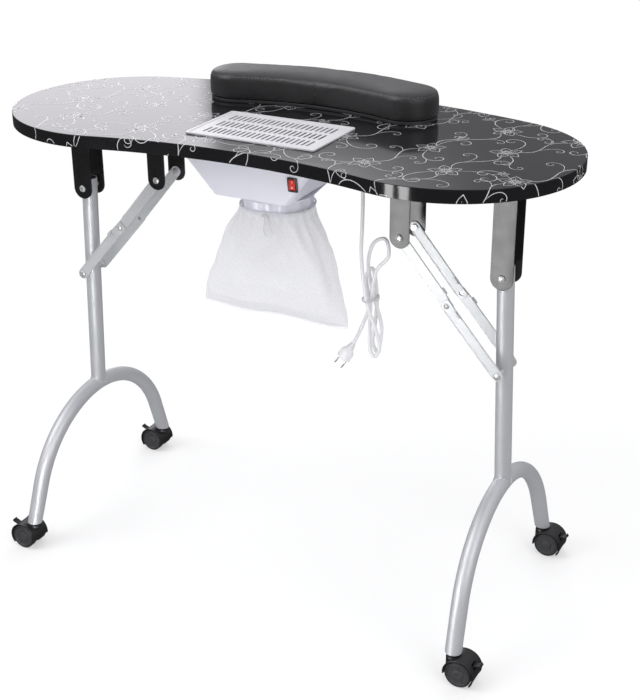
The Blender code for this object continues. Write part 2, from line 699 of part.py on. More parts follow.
def smooth_path(keys, steps):
    """A Catmull-Rom path through the keys."""
    keys = [Vector(key) for key in keys]
    ends = [keys[0] * 2 - keys[1]] + keys + [keys[-1] * 2 - keys[-2]]
    path = []
    for i in range(1, len(ends) - 2):
        before, here, there, after = ends[i - 1:i + 3]
        for step in range(steps):
            t = step / steps
            path.append(0.5 * ((2 * here) + (there - before) * t
                               + (2 * before - 5 * here + 4 * there - after) * t * t
                               + (3 * here - before - 3 * there + after) * t ** 3))
    path.append(keys[-1])
    return path


def build_power_plug():
    start = Vector(PLUG_FROM)
    direction = (Vector(PLUG_TO) - start).normalized()
    turn = Vector((0, 0, -1)).rotation_difference(direction).to_matrix().to_4x4()
    frame = Matrix.Translation(start + direction * 0.0004) @ turn
    plug = turned("power_plug", PLUG_PROFILE, 12, CORD_WHITE, frame)
    for tag, sign in (("a", -1), ("b", 1)):
        x = sign * PIN_X
        join(plug, block(f"plug_pin_{tag}", (x - PIN_HALF_T, -PIN_HALF_W, -0.0460),
                         (x + PIN_HALF_T, PIN_HALF_W, -0.0280), frame=frame))


def build_cord():
    pipe("power_cord", smooth_path(CORD_KEYS, CORD_STEPS), CORD_R, 1, CORD_WHITE)
    build_power_plug()
    tie_loops = [corner_rect(-0.0128, 0.0128, -0.0195, 0.0195, 0.0050, 2),
                 corner_rect(-0.0117, 0.0117, -0.0184, 0.0184, 0.0040, 2)]
    flat("cord_tie", tie_loops, 0.0050, CORD_WHITE, at(TIE_X - 0.0030, -0.0125, TIE_Z))


# ---------------------------------------------------------------- wrist cushion
CUSHION = dict(half=0.1925, end_r=0.0470, end_y=0.1260, back_y=0.2000, front_y=0.1045)
CUSHION_BOARD_T = 0.0050
PAD_Z0 = TOP_Z + GAP + CUSHION_BOARD_T + GAP
PAD_Z1 = TOP_Z + 0.0490
# the pad's stations from the top down: inset from the outline, z
PAD_STATIONS = [(0.0260, PAD_Z1), (0.0080, PAD_Z1 - 0.0014), (0.0014, PAD_Z1 - 0.0070),
                (0.0, PAD_Z1 - 0.0180), (0.0, PAD_Z0 + 0.0060), (0.0012, PAD_Z0)]


def build_cushion():
    """The pad, and the thin board under it."""
    rings = []
    for inset, z in PAD_STATIONS:
        outline = kidney(**CUSHION, inset=inset, end_steps=10, back_steps=6, front_steps=8)
        rings.append([(x, y, z) for x, y in outline])
    loft("wrist_cushion", rings, LEATHER)
    edge = kidney(**CUSHION, inset=0.0030, end_steps=8, back_steps=6, front_steps=6)
    flat("cushion_board", [edge], CUSHION_BOARD_T, LEATHER,
         at(0, 0, TOP_Z + GAP + CUSHION_BOARD_T / 2))


# ---------------------------------------------------------------- brackets and fasteners
def bracket(name, bolt, width, plate_y):
    """A U of sheet steel: a web under the board and two plates with round lower ends."""
    half = width / 2
    plate_top = MOUNT_Z - PLATE_T / 2 - bolt.z
    shape = ([(-half, plate_top)] + arc(0, 0, half, math.pi, 2 * math.pi, 8)
             + [(half, plate_top)])
    loops = [shape, ring(BORE_R, 12)]
    made = flat(name, loops, PLATE_T, BLACK_PAINT, upright(bolt.x, -plate_y, bolt.z))
    rear = flat(name + "_rear_plate", loops, PLATE_T, world=upright(bolt.x, plate_y, bolt.z))
    web = block(name + "_web", (bolt.x - half - 0.0004, -plate_y - 0.0180, MOUNT_Z - PLATE_T),
                (bolt.x + half + 0.0004, plate_y + 0.0180, MOUNT_Z))
    join(made, web, rear)


def head_profile(seat, height, crown_r, rim, rim_r):
    """A bolt head standing on its seat, down to the shank."""
    return [(0, seat + height), (crown_r, seat + height), (rim_r, seat + rim),
            (rim_r, seat), (BOLT_R, seat)]


def through_profile(seat, collar_end, collar_r, nut_height, head):
    """A bolt through the post: head, nut, and two collars that keep the post centred."""
    tube = TUBE_R + GAP
    nut_r = head["rim_r"]
    return head_profile(seat, **head) + [
        (BOLT_R, collar_end), (collar_r, collar_end), (collar_r, tube), (BOLT_R, tube),
        (BOLT_R, -tube), (collar_r, -tube), (collar_r, -collar_end), (BOLT_R, -collar_end),
        (BOLT_R, -seat), (nut_r, -seat), (nut_r, -seat - nut_height), (0, -seat - nut_height)]


def fastener(name, profile, place, sign, parent=None):
    """A turned fastener along Y whose head faces sign * Y; heights are measured from y = 0."""
    turn = TO_BACK if sign > 0 else TO_FRONT
    made = turned(name, profile, BOLT_SIDES, SCREW_STEEL, at(place.x, 0, place.z) @ turn)
    if parent is not None:
        hang(made, parent)


# ---------------------------------------------------------------- legs
def both_ways(half):
    """A (y, z) path from the middle outwards, continued to its mirror image in -Y."""
    return [(-y, z) for y, z in half[:0:-1]] + half


class Leg:
    """One leg's axis and the places worked out from it. sign is -1 on the left, 1 on the right."""

    def __init__(self, side):
        self.side = side
        self.sign = -1 if side == "left" else 1
        self.pivot_z = PIVOT_Z_LEFT - (0 if side == "left" else PIVOT_STEP)
        self.pivot = Vector((self.sign * PIVOT_X, 0, self.pivot_z))
        self.axis = axis_empty(f"{side}_leg_axis", self.pivot, -self.sign * SPLAY)
        self.world = self.axis.matrix_world.copy()
        self.post_end = self.drop_to(ARCH_TOP_Z)
        self.lower_bolt = self.place(0, -BRACE_DROP)
        self.upper_bolt = Vector((self.sign * BRACE_X, 0, self.pivot_z + BRACE_RISE))
        centre_z = self.post_end - ARCH_R
        turns = [ARCH_SWEEP * i / ARCH_STEPS for i in range(ARCH_STEPS + 1)]
        self.half_arch = [(ARCH_R * math.sin(turn), centre_z + ARCH_R * math.cos(turn))
                          for turn in turns]

    def drop_to(self, z):
        """A world height as a height along the leaning post."""
        return -(self.pivot_z - z) / math.cos(SPLAY)

    def place(self, y, z):
        """A point of the leg's own YZ plane, in the world."""
        return self.world @ Vector((0, y, z))

    def run(self, path):
        return [self.place(y, z) for y, z in path]


def build_foot(leg):
    """The foot: an arc with straight ends, trimmed level. Returns where its tube ends stand."""
    side, pivot = leg.side, leg.pivot
    last_y, last_z = leg.half_arch[-1]
    end_y, end_z = math.cos(ARCH_SWEEP), -math.sin(ARCH_SWEEP)
    reach = (last_z - leg.drop_to(FOOT_END_Z)) / -end_z

    def along_end(distance):
        return last_y + end_y * distance, last_z + end_z * distance

    outer_path = both_ways(leg.half_arch + [along_end(reach + 0.012)])
    inner_path = both_ways(leg.half_arch + [along_end(reach - 0.0085)])
    foot = pipe(f"{side}_foot", leg.run(outer_path), TUBE_R, 3, SILVER_PAINT)
    hollow = pipe(f"{side}_foot_hollow", leg.run(inner_path), TUBE_R - TUBE_WALL, 1)
    trim = block(f"{side}_foot_trim", (pivot.x - 0.1, -0.3, -0.02),
                 (pivot.x + 0.1, 0.3, FOOT_END_Z))
    tip_y, tip_z = along_end(reach)
    ends = {}
    sockets = []
    for tag, y_sign in (("front", -1), ("rear", 1)):
        end = leg.place(y_sign * tip_y, tip_z)
        ends[tag] = end
        sockets.append(rod(f"{side}_{tag}_socket", SOCKET_R, (end.x, end.y, FOOT_END_Z - 0.01),
                           (end.x, end.y, FOOT_END_Z + SOCKET_RISE), 10))
    cut(foot, hollow, trim, *sockets)
    hang(foot, leg.axis)
    return ends


def build_post(leg):
    """The post: bored for two bolts and coped over the foot at its lower end."""
    side = leg.side
    post = rod(f"{side}_post", TUBE_R, leg.place(0, POST_OVER), leg.place(0, leg.post_end),
               16, SILVER_PAINT)
    hollow = rod(f"{side}_post_hollow", TUBE_R - TUBE_WALL, leg.place(0, POST_OVER + 0.005),
                 leg.place(0, leg.post_end - 0.02), 12)
    cope = pipe(f"{side}_post_cope", leg.run(both_ways(leg.half_arch[:4])), TUBE_R + GAP, 3)
    bores = [rod(f"{side}_post_bore_{i}", BORE_R, (bolt.x, -0.03, bolt.z),
                 (bolt.x, 0.03, bolt.z), 12)
             for i, bolt in enumerate((leg.pivot, leg.lower_bolt))]
    cut(post, hollow, cope, *bores, solver="MANIFOLD")
    hang(post, leg.axis)


def build_leg_mount(leg):
    """The two brackets under the board and the leg's pivot bolt, head in front, nut behind."""
    bracket(f"{leg.side}_leg_bracket", leg.pivot, LEG_BRACKET_W, LEG_PLATE_Y)
    bracket(f"{leg.side}_brace_bracket", leg.upper_bolt, BRACE_BRACKET_W, BRACE_PLATE_Y)
    profile = through_profile(seat=LEG_PLATE_Y + PLATE_T / 2 + GAP,
                              collar_end=LEG_PLATE_Y - PLATE_T / 2 - GAP,
                              collar_r=0.0060, nut_height=0.0042, head=LEG_HEAD)
    fastener(f"{leg.side}_leg_bolt", profile, leg.pivot, -1)


# ---------------------------------------------------------------- folding braces
def link_shape(length):
    """A strip from (0, 0) to (length, 0): round at its start, square and chamfered at its end."""
    half = LINK_W / 2
    tip = length + half
    return (arc(0, 0, half, math.pi / 2, 3 * math.pi / 2, 6)
            + [(tip - LINK_CORNER, -half), (tip, -half + LINK_CORNER),
               (tip, half - LINK_CORNER), (tip - LINK_CORNER, half)])


def build_link(name, start, end, y, axis, ear_side, sign):
    """A link whose local X runs from its bolt to the middle rivet. Its ear is folded away from
    y = 0 where ear_side is 1, towards it where -1."""
    length = (end - start).length
    angle = math.atan2(end.z - start.z, end.x - start.x)
    frame = upright(start.x, y, start.z) @ Matrix.Rotation(angle, 4, "Z")
    loops = [link_shape(length), ring(BORE_R, 12), ring(BORE_R, 12, length)]
    made = flat(name, loops, LINK_T, ZINC, frame)
    # the ear stands on the edge that faces away from the table's middle
    edge = 1 if (frame.to_3x3() @ Vector((0, 1, 0))).x * sign > 0 else -1
    fold = (-1 if y < 0 else 1) * ear_side
    depth0, depth1 = sorted((-fold * LINK_T / 4, fold * 0.0062))
    edge0, edge1 = sorted((edge * (LINK_W / 2 - 0.0020), edge * (LINK_W / 2 + 0.0006)))
    # the frame's local Z points to -Y
    ear = block(name + "_ear", (length - 0.0250, edge0, -depth1),
                (length - 0.0140, edge1, -depth0), frame=frame)
    join(made, ear, solver="MANIFOLD")
    hang(made, axis)


def build_brace(leg):
    """Lower links outside the post, upper links inside the brace bracket, riveted together."""
    side, sign = leg.side, leg.sign
    lower_bolt, upper_bolt = leg.lower_bolt, leg.upper_bolt
    line = upper_bolt - lower_bolt
    inward = Vector((-line.z, 0, line.x)).normalized()
    if inward.x * sign > 0:
        inward = -inward
    middle = lower_bolt + line * LINK_SHARE + inward * OVER_CENTRE
    lower_axis = axis_empty(f"{side}_brace_lower_axis", lower_bolt, parent=leg.axis)
    upper_axis = axis_empty(f"{side}_brace_upper_axis", upper_bolt)

    seat = BRACE_PLATE_Y + LINK_T / 2 + GAP
    post_profile = through_profile(seat, collar_end=BRACE_PLATE_Y - LINK_T / 2 - GAP,
                                   collar_r=0.0055, nut_height=0.0038, head=BRACE_HEAD)
    fastener(f"{side}_brace_post_bolt", post_profile, lower_bolt, -1, leg.axis)

    # bracket bolt: head outside the plate, nut inside the upper link
    inside = UPPER_LINK_Y - LINK_T / 2 - GAP
    bolt_profile = head_profile(seat, **BRACE_HEAD) + [
        (BOLT_R, inside), (0.0050, inside), (0.0050, inside - 0.0040), (0, inside - 0.0040)]
    # middle rivet: a domed head and a shank as deep as the lower link
    rivet_in = BRACE_PLATE_Y - LINK_T / 2
    rivet_profile = [(0, seat + 0.0016), (0.0024, seat + 0.0013), (0.0042, seat),
                     (BOLT_R, seat), (BOLT_R, rivet_in), (0, rivet_in)]
    for tag, y_sign in (("front", -1), ("rear", 1)):
        name = f"{side}_{tag}"
        build_link(f"{name}_lower_link", lower_bolt, middle, y_sign * BRACE_PLATE_Y,
                   lower_axis, 1, sign)
        build_link(f"{name}_upper_link", upper_bolt, middle, y_sign * UPPER_LINK_Y,
                   upper_axis, -1, sign)
        fastener(f"{name}_brace_bolt", bolt_profile, upper_bolt, y_sign)
        fastener(f"{name}_brace_rivet", rivet_profile, middle, y_sign, lower_axis)


# ---------------------------------------------------------------- casters
def sided_outline(points, sign):
    """An outline, mirrored in X when sign is -1."""
    return [(-x, y) for x, y in reversed(points)] if sign < 0 else points


def build_hood(name, top, hub, pin, sign, swivel):
    """The hood over the wheels, in one piece with its middle web, neck, stem and axle."""
    frame = upright(hub.x, top.y, hub.z)
    # from low on the trailing side, over the top, to the leading side
    shell = (arc(0, 0, HOOD_R1, HOOD_START, HOOD_END, 9)
             + arc(0, 0, HOOD_R0, HOOD_END, HOOD_START, 9))
    hood = flat(f"{name}_caster_hood", [sided_outline(shell, sign)],
                2 * (WHEEL_Y1 - 0.0006), CASTER_PLASTIC, frame)
    # fixes the shell's mesh and place before the live Booleans are added
    hood = settle(hood)
    web_shape = (arc(0, 0, HOOD_R0 + 0.0010, HOOD_START, HOOD_END, 8)
                 + [(-0.0130, -0.0100), (0.0060, -0.0150)])
    web = flat(f"{name}_hood_web", [sided_outline(web_shape, sign)], 0.0096, world=frame)
    neck = rod(f"{name}_neck", 0.0088, (top.x, top.y, 0.0330),
               (top.x, top.y, FOOT_END_Z - GAP), 12)
    stem = rod(f"{name}_stem", STEM_R, (top.x, top.y, 0.0400),
               (top.x, top.y, FOOT_END_Z + STEM_RISE), 10)
    axle = rod(f"{name}_axle", 0.0030, (hub.x, top.y - 0.0175, hub.z),
               (hub.x, top.y + 0.0175, hub.z), 8)
    join(hood, web, neck, stem, axle)

    # the neck may not reach into the wheels, and the tab needs a slot
    rooms = []
    for tag, y0, y1 in (("a", -WHEEL_Y1 - 0.001, -WHEEL_Y0 + 0.0004),
                        ("b", WHEEL_Y0 - 0.0004, WHEEL_Y1 + 0.001)):
        rooms.append(flat(f"{name}_wheel_room_{tag}", [ring(HOOD_R0, 16), ring(0.0029, 8)],
                          y1 - y0, world=upright(hub.x, top.y + (y0 + y1) / 2, hub.z)))
    slot = sided_block(f"{name}_tab_slot", (-0.0062, -0.0072, -0.0045), (0.0080, 0.0072, 0.0060),
                       Matrix.Translation(pin) @ Matrix.Rotation(-sign * TAB_ANGLE, 4, "Y"), sign)
    cut(hood, *rooms, slot)
    hang(hood, swivel)


def build_wheels(name, hub, swivel):
    spin = axis_empty(f"{name}_wheel_axis", hub, parent=swivel)
    profile = [(WHEEL_R - 0.0020, WHEEL_Y1), (WHEEL_R, WHEEL_Y1 - 0.0022),
               (WHEEL_R, WHEEL_Y0 + 0.0012), (WHEEL_R - 0.0012, WHEEL_Y0),
               (0.00312, WHEEL_Y0), (0.00312, WHEEL_Y1 - 0.0012)]
    half_flat = Matrix.Rotation(math.pi / WHEEL_SIDES, 4, "Z")
    for tag, turn in (("outer", TO_FRONT), ("inner", TO_BACK)):
        wheel = turned(f"{name}_{tag}_wheel", profile, WHEEL_SIDES, CASTER_PLASTIC,
                       Matrix.Translation(hub) @ turn @ half_flat, closed=True)
        hang(wheel, spin)


def build_brake(name, pin, sign, swivel):
    """A tilted tab with a raised lip, on a round pin."""
    axis = axis_empty(f"{name}_brake_axis", pin, parent=swivel)
    frame = Matrix.Translation(pin) @ Matrix.Rotation(-sign * TAB_TILT, 4, "Y")
    brake = rod(f"{name}_brake_tab", 0.0014, (pin.x, pin.y - 0.0066, pin.z),
                (pin.x, pin.y + 0.0066, pin.z), 8, CASTER_PLASTIC)
    plate = sided_block(f"{name}_tab_plate", (-0.0006, -0.0055, -0.0009),
                        (0.0135, 0.0055, 0.0009), frame, sign)
    lip = sided_block(f"{name}_tab_lip", (0.0110, -0.0055, -0.0006),
                      (0.0135, 0.0055, 0.0034), frame, sign)
    join(brake, plate, lip)
    hang(brake, axis)


def build_caster(name, top, leg):
    """A twin-wheel caster under a tube end, trailing outwards."""
    sign = leg.sign
    swivel = axis_empty(f"{name}_swivel_axis", (top.x, top.y, 0.0), parent=leg.axis)
    hub = Vector((top.x + sign * CASTER_TRAIL, top.y, HUB_Z))
    pin = Vector((hub.x + sign * TAB_R * math.cos(TAB_ANGLE), top.y,
                  hub.z + TAB_R * math.sin(TAB_ANGLE)))
    build_hood(name, top, hub, pin, sign, swivel)
    build_wheels(name, hub, swivel)
    build_brake(name, pin, sign, swivel)


# ---------------------------------------------------------------- the whole table
def build_leg(side):
    leg = Leg(side)
    build_leg_mount(leg)
    ends = build_foot(leg)
    build_post(leg)
    build_brace(leg)
    for tag, end in ends.items():
        build_caster(f"{side}_{tag}", end, leg)


def centre_on_origin():
    """Put the origin on the floor under the middle of the whole table's outline box."""
    for made in list(PARTS.objects) + list(CUTTERS.objects):
        if made.parent is None:
            made.location.y -= MIDDLE_Y
    bpy.context.view_layer.update()


build_top()
build_grille()
build_fan_housing()
build_switch_bezel()
build_switch_rocker()
build_fan_frame()
build_fan_impeller()
build_dust_bag()
build_drawstring()
build_cord()
build_cushion()
build_leg("left")
build_leg("right")
centre_on_origin()
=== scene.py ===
"""A kidney-shaped folding table: printed top, extractor fan with grille and dust bag, wrist
cushion, mains cord and two folding tube legs on twin-wheel casters.

Metres, Z up from the floor. X runs along the top; -Y is the concave front, +Y the back. Pieces
are drawn about the plane of the leg posts (y = 0) and moved by SHIFT when they are placed.
"""
import math
import random

import bmesh
import bpy
import numpy as np
from mathutils import Matrix, Vector, noise


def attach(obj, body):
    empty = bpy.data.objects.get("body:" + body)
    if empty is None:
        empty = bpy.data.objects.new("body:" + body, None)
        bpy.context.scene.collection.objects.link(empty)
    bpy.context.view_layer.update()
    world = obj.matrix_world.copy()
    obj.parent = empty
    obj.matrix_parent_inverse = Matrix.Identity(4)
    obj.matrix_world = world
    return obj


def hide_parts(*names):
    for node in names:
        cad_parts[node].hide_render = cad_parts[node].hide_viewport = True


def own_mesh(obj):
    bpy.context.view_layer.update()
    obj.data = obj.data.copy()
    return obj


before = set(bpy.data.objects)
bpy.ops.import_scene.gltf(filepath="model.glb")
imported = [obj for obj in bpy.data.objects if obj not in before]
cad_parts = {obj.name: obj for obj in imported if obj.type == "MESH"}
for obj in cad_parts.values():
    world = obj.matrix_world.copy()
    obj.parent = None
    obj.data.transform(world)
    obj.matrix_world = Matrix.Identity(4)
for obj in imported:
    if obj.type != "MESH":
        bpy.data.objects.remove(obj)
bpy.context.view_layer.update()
scene = bpy.context.scene

# ------------------------------------------------------------------ dimensions
MIDDLE_Y = 0.00881           # how far the posts' plane lies in front of the frame's y = 0
SHIFT = Matrix.Translation((0, -MIDDLE_Y, 0))
XZ = Matrix.Rotation(math.pi / 2, 4, "X")    # stands a flat piece up: its Y to Z, its Z to -Y

# top
TOP_Z, TOP_T = 0.722, 0.019
UNDER_Z = TOP_Z - TOP_T
OUTLINE = dict(half=0.4500, end_radius=0.1830, end_y=0.0075, back_y=0.2265, front_y=-0.1410)
BAND_T = 0.0012
GRILLE_X, GRILLE_Y0, GRILLE_Y1 = 0.1048, -0.0952, 0.0355
CUT_INSET = 0.0060           # the hole in the top lies this far inside the grille's rim

# fan housing: a tapered pan; its half width, front y and back y at the top and bottom
PAN_TOP = (0.112, -0.1035, 0.0450)
PAN_LOW = (0.061, -0.0935, 0.0400)
PAN_LOW_Z, PAN_WALL = 0.6370, 0.0022
FLANGE_Z = UNDER_Z - 0.0003
OUTLET_X, OUTLET_Y, OUTLET_R, OUTLET_Z = 0.0115, -0.0330, 0.0520, 0.6110
OUTLET_AT = Matrix.Translation((OUTLET_X, OUTLET_Y, 0))
CORD_EXIT = Vector((0.1010, -0.0050, 0.6890))

# legs and their folding braces; the right pivot is one step lower than the left
PIVOT_X, PIVOT_Z_LEFT, PIVOT_STEP = 0.3570, 0.5800, 0.0258
SPLAY = math.radians(2.3)
TUBE_R, TUBE_WALL, POST_OVER = 0.0125, 0.0015, 0.0150
BRACE_DROP, BRACE_X, BRACE_RISE = 0.1440, 0.2055, 0.0385
LINK_SHARE, OVER_CENTRE, LINK_W, LINK_T = 0.512, 0.0012, 0.0165, 0.0020
ARCH_TOP_Z, ARCH_R, ARCH_SWEEP, FOOT_END_Z = 0.2246, 0.1780, math.radians(70), 0.0455
LEG_PLATE_Y, BRACE_PLATE_Y, PLATE_T = 0.0170, 0.0279, 0.0020
UPPER_LINK_Y = BRACE_PLATE_Y - LINK_T - 0.0003
SHANK_R, SEAT_GAP = 0.0030, 0.0002
WHEEL_R, HUB_Z, TRAIL = 0.0205, 0.020106, 0.0145

# wrist cushion
CUSHION = dict(half=0.1925, end_radius=0.0470, end_y=0.1260, back_y=0.2000, front_y=0.1045)
PAD_LOW, PAD_TOP = TOP_Z + 0.0056, 0.7710
SEAM_Z = PAD_LOW + 0.0345

# hank of mains cord
TIE_X, TIE_Z, HANK_TOP, HANK_LOW, CORD_R = 0.1570, 0.4850, 0.5800, 0.3960, 0.0028


# ------------------------------------------------------------------ material helpers
class Look:
    """A principled node material in object space, built up step by step."""

    def __init__(self, name, colour, rough=0.5, metal=0.0):
        self.material = bpy.data.materials.new(name)
        self.material.use_nodes = True
        self.tree = self.material.node_tree
        self.shader = self.tree.nodes["Principled BSDF"]
        self.set(self.shader, Base_Color=(*colour, 1), Roughness=rough, Metallic=metal)
        self.material.diffuse_color = (*colour, 1)
        self.coord = self.node("ShaderNodeTexCoord")
        self.normal = None

    def node(self, kind, **inputs):
        made = self.tree.nodes.new(kind)
        self.set(made, **inputs)
        return made

    def set(self, node, **inputs):
        for key, value in inputs.items():
            node.inputs[key.replace("_", " ")].default_value = value

    def link(self, output, socket):
        self.tree.links.new(output, socket)

    def surface(self, output):
        self.link(output, self.tree.nodes["Material Output"].inputs["Surface"])

    def mapped(self, scale):
        made = self.node("ShaderNodeMapping", Scale=scale)
        self.link(self.coord.outputs["Object"], made.inputs["Vector"])
        return made.outputs["Vector"]

    def noise(self, scale, detail=3, roughness=0.5, vector=None, distortion=0.0):
        made = self.node("ShaderNodeTexNoise", Scale=scale, Detail=detail,
                         Roughness=roughness, Distortion=distortion)
        self.link(vector or self.coord.outputs["Object"], made.inputs["Vector"])
        return made.outputs["Fac"]

    def voronoi(self, scale, feature="F1", vector=None, randomness=1.0):
        made = self.node("ShaderNodeTexVoronoi")
        made.feature = feature
        self.set(made, Scale=scale, Randomness=randomness)
        self.link(vector or self.coord.outputs["Object"], made.inputs["Vector"])
        return made.outputs["Distance"]

    def remap(self, value, low=0, high=1, start=0.0, end=1.0):
        """start..end mapped to low..high."""
        made = self.node("ShaderNodeMapRange", From_Min=start, From_Max=end,
                         To_Min=low, To_Max=high)
        self.link(value, made.inputs["Value"])
        return made.outputs["Result"]

    def tint(self, value, low, high):
        """Base colour that runs from one colour to another."""
        made = self.node("ShaderNodeMix")
        made.data_type = "RGBA"
        self.link(value, made.inputs[0])
        made.inputs[6].default_value = (*low, 1)
        made.inputs[7].default_value = (*high, 1)
        self.link(made.outputs[2], self.shader.inputs["Base Color"])

    def gloss(self, value, **limits):
        self.link(self.remap(value, **limits), self.shader.inputs["Roughness"])

    def bump(self, height, strength, distance):
        """Each bump rides on the one before."""
        made = self.node("ShaderNodeBump", Strength=strength, Distance=distance)
        self.link(height, made.inputs["Height"])
        if self.normal is not None:
            self.link(self.normal, made.inputs["Normal"])
        self.normal = made.outputs["Normal"]
        self.link(self.normal, self.shader.inputs["Normal"])


def shade(colour, factor):
    return tuple(c * factor for c in colour)


# ------------------------------------------------------------------ materials
def laminate():
    look = Look("laminate_black", (0.011, 0.011, 0.012), rough=0.10)
    look.gloss(look.noise(scale=9, detail=5, roughness=0.6),
               low=0.07, high=0.11, start=0.3, end=0.7)
    look.tint(look.noise(scale=3.0, detail=4), (0.009, 0.009, 0.010), (0.015, 0.014, 0.016))
    look.bump(look.noise(scale=300, detail=2), strength=0.010, distance=0.0001)
    return look.material


def print_white():
    look = Look("print_white", (0.60, 0.59, 0.60), rough=0.30)
    look.tint(look.remap(look.noise(scale=160), start=0.35, end=0.65),
              (0.66, 0.65, 0.66), (0.50, 0.49, 0.51))
    look.gloss(look.noise(scale=90, detail=2), low=0.08, high=0.12)
    return look.material


def band_gloss():
    look = Look("band_gloss_black", (0.008, 0.008, 0.009), rough=0.10)
    look.gloss(look.noise(scale=14, detail=4), low=0.06, high=0.15)
    look.tint(look.noise(scale=11), (0.006, 0.006, 0.007), (0.012, 0.012, 0.013))
    look.bump(look.noise(scale=95, detail=2), strength=0.10, distance=0.0006)
    look.bump(look.noise(scale=700, detail=2), strength=0.03, distance=0.0002)
    return look.material


def black_coat():
    look = Look("powder_coat_black", (0.010, 0.010, 0.011), rough=0.20)
    look.gloss(look.noise(scale=60, detail=4), low=0.14, high=0.28)
    look.tint(look.noise(scale=35, detail=4), (0.008, 0.008, 0.009), (0.017, 0.017, 0.018))
    look.bump(look.noise(scale=900, detail=2), strength=0.12, distance=0.0002)
    return look.material


def silver_coat():
    look = Look("silver_coat", (0.47, 0.48, 0.50), rough=0.34, metal=0.40)
    look.tint(look.remap(look.voronoi(scale=2600), start=0.2, end=0.7),
              (0.62, 0.63, 0.65), (0.50, 0.51, 0.53))
    look.gloss(look.noise(scale=45, detail=4), low=0.38, high=0.48)
    look.bump(look.noise(scale=520, detail=2), strength=0.08, distance=0.0002)
    return look.material


def zinc():
    look = Look("zinc_strip", (0.52, 0.53, 0.55), rough=0.40, metal=0.20)
    streaks = look.mapped(scale=(1, 1, 14))
    look.tint(look.noise(scale=60, detail=4, roughness=0.6, vector=streaks),
              (0.52, 0.53, 0.55), (0.62, 0.63, 0.64))
    look.gloss(look.noise(scale=130, detail=4), low=0.26, high=0.42)
    look.bump(look.noise(scale=480), strength=0.09, distance=0.0002)
    return look.material


def screw_steel():
    look = Look("screw_nickel", (0.66, 0.66, 0.65), rough=0.24, metal=0.50)
    look.tint(look.noise(scale=300), (0.58, 0.58, 0.57), (0.72, 0.72, 0.71))
    look.gloss(look.noise(scale=500), low=0.14, high=0.30)
    look.bump(look.noise(scale=1500, detail=2), strength=0.08, distance=0.0001)
    return look.material


def white_plastic(name, colour):
    look = Look(name, colour, rough=0.34)
    look.tint(look.noise(scale=7), shade(colour, 0.97), shade(colour, 1.03))
    look.gloss(look.noise(scale=80), low=0.28, high=0.42)
    look.bump(look.noise(scale=1100, detail=2), strength=0.06, distance=0.0001)
    look.set(look.shader, Subsurface_Weight=0.08, Subsurface_Radius=(0.004, 0.004, 0.005))
    return look.material


def dark_plastic(name, colour, rough=0.42, grain=0.12):
    look = Look(name, colour, rough)
    look.tint(look.noise(scale=40), shade(colour, 0.8), shade(colour, 1.25))
    look.gloss(look.noise(scale=120), low=rough - 0.08, high=rough + 0.08)
    look.bump(look.noise(scale=1400, detail=2), strength=grain, distance=0.00015)
    return look.material


def red_plastic():
    look = Look("rocker_red", (0.62, 0.020, 0.012), rough=0.18)
    look.tint(look.noise(scale=120, detail=2), (0.70, 0.030, 0.018), (0.52, 0.012, 0.008))
    look.gloss(look.noise(scale=260, detail=2), low=0.12, high=0.24)
    # Painted glow: a faint red emission brightens the rocker's colour.
    look.set(look.shader, Emission_Color=(0.8, 0.03, 0.02, 1), Emission_Strength=0.10)
    return look.material


def leatherette():
    look = Look("leatherette_black", (0.016, 0.016, 0.017), rough=0.40)
    grain = look.voronoi(scale=1150, feature="SMOOTH_F1", vector=look.mapped((1, 1, 1)))
    creases = look.voronoi(scale=420, feature="DISTANCE_TO_EDGE")
    look.tint(look.remap(look.noise(scale=16, detail=4), start=0.35, end=0.7),
              (0.013, 0.013, 0.014), (0.024, 0.024, 0.026))
    look.gloss(look.noise(scale=55, detail=4), low=0.34, high=0.50)
    look.bump(look.noise(scale=24, detail=4, roughness=0.55), strength=0.10, distance=0.0035)
    look.bump(look.remap(creases, start=0.0, end=0.25), strength=0.16, distance=0.0003)
    look.bump(grain, strength=0.22, distance=0.00035)
    look.set(look.shader, Sheen_Weight=0.08, Sheen_Roughness=0.5)
    return look.material


def thread(name, colour):
    look = Look(name, colour, rough=0.7)
    look.bump(look.noise(scale=2500, detail=2), strength=0.3, distance=0.0002)
    look.tint(look.noise(scale=900, detail=2), shade(colour, 0.8), colour)
    return look.material


def bag_cloth():
    """Thin non-woven cloth: light passes through it, fibres and pin-point bonds show."""
    look = Look("filter_cloth", (0.88, 0.88, 0.90), rough=0.85)
    fibres = look.noise(scale=520, detail=6, roughness=0.75, distortion=1.5)
    dots = look.voronoi(scale=760, randomness=0.15)
    look.tint(look.remap(fibres, start=0.35, end=0.68), (0.80, 0.80, 0.82), (0.96, 0.96, 0.97))
    look.bump(fibres, strength=0.25, distance=0.0006)
    look.bump(look.remap(dots, start=0.1, end=0.45), strength=0.20, distance=0.0003)
    translucent = look.node("ShaderNodeBsdfTranslucent", Color=(0.93, 0.93, 0.95, 1))
    clear = look.node("ShaderNodeBsdfTransparent", Color=(0.98, 0.98, 0.99, 1))
    cloth, pierced = look.node("ShaderNodeMixShader"), look.node("ShaderNodeMixShader")
    cloth.inputs[0].default_value = 0.45
    look.link(look.shader.outputs[0], cloth.inputs[1])
    look.link(translucent.outputs[0], cloth.inputs[2])
    look.link(look.remap(fibres, low=0.10, high=0.34, start=0.4, end=0.65), pierced.inputs[0])
    look.link(cloth.outputs[0], pierced.inputs[1])
    look.link(clear.outputs[0], pierced.inputs[2])
    look.surface(pierced.outputs[0])
    return look.material


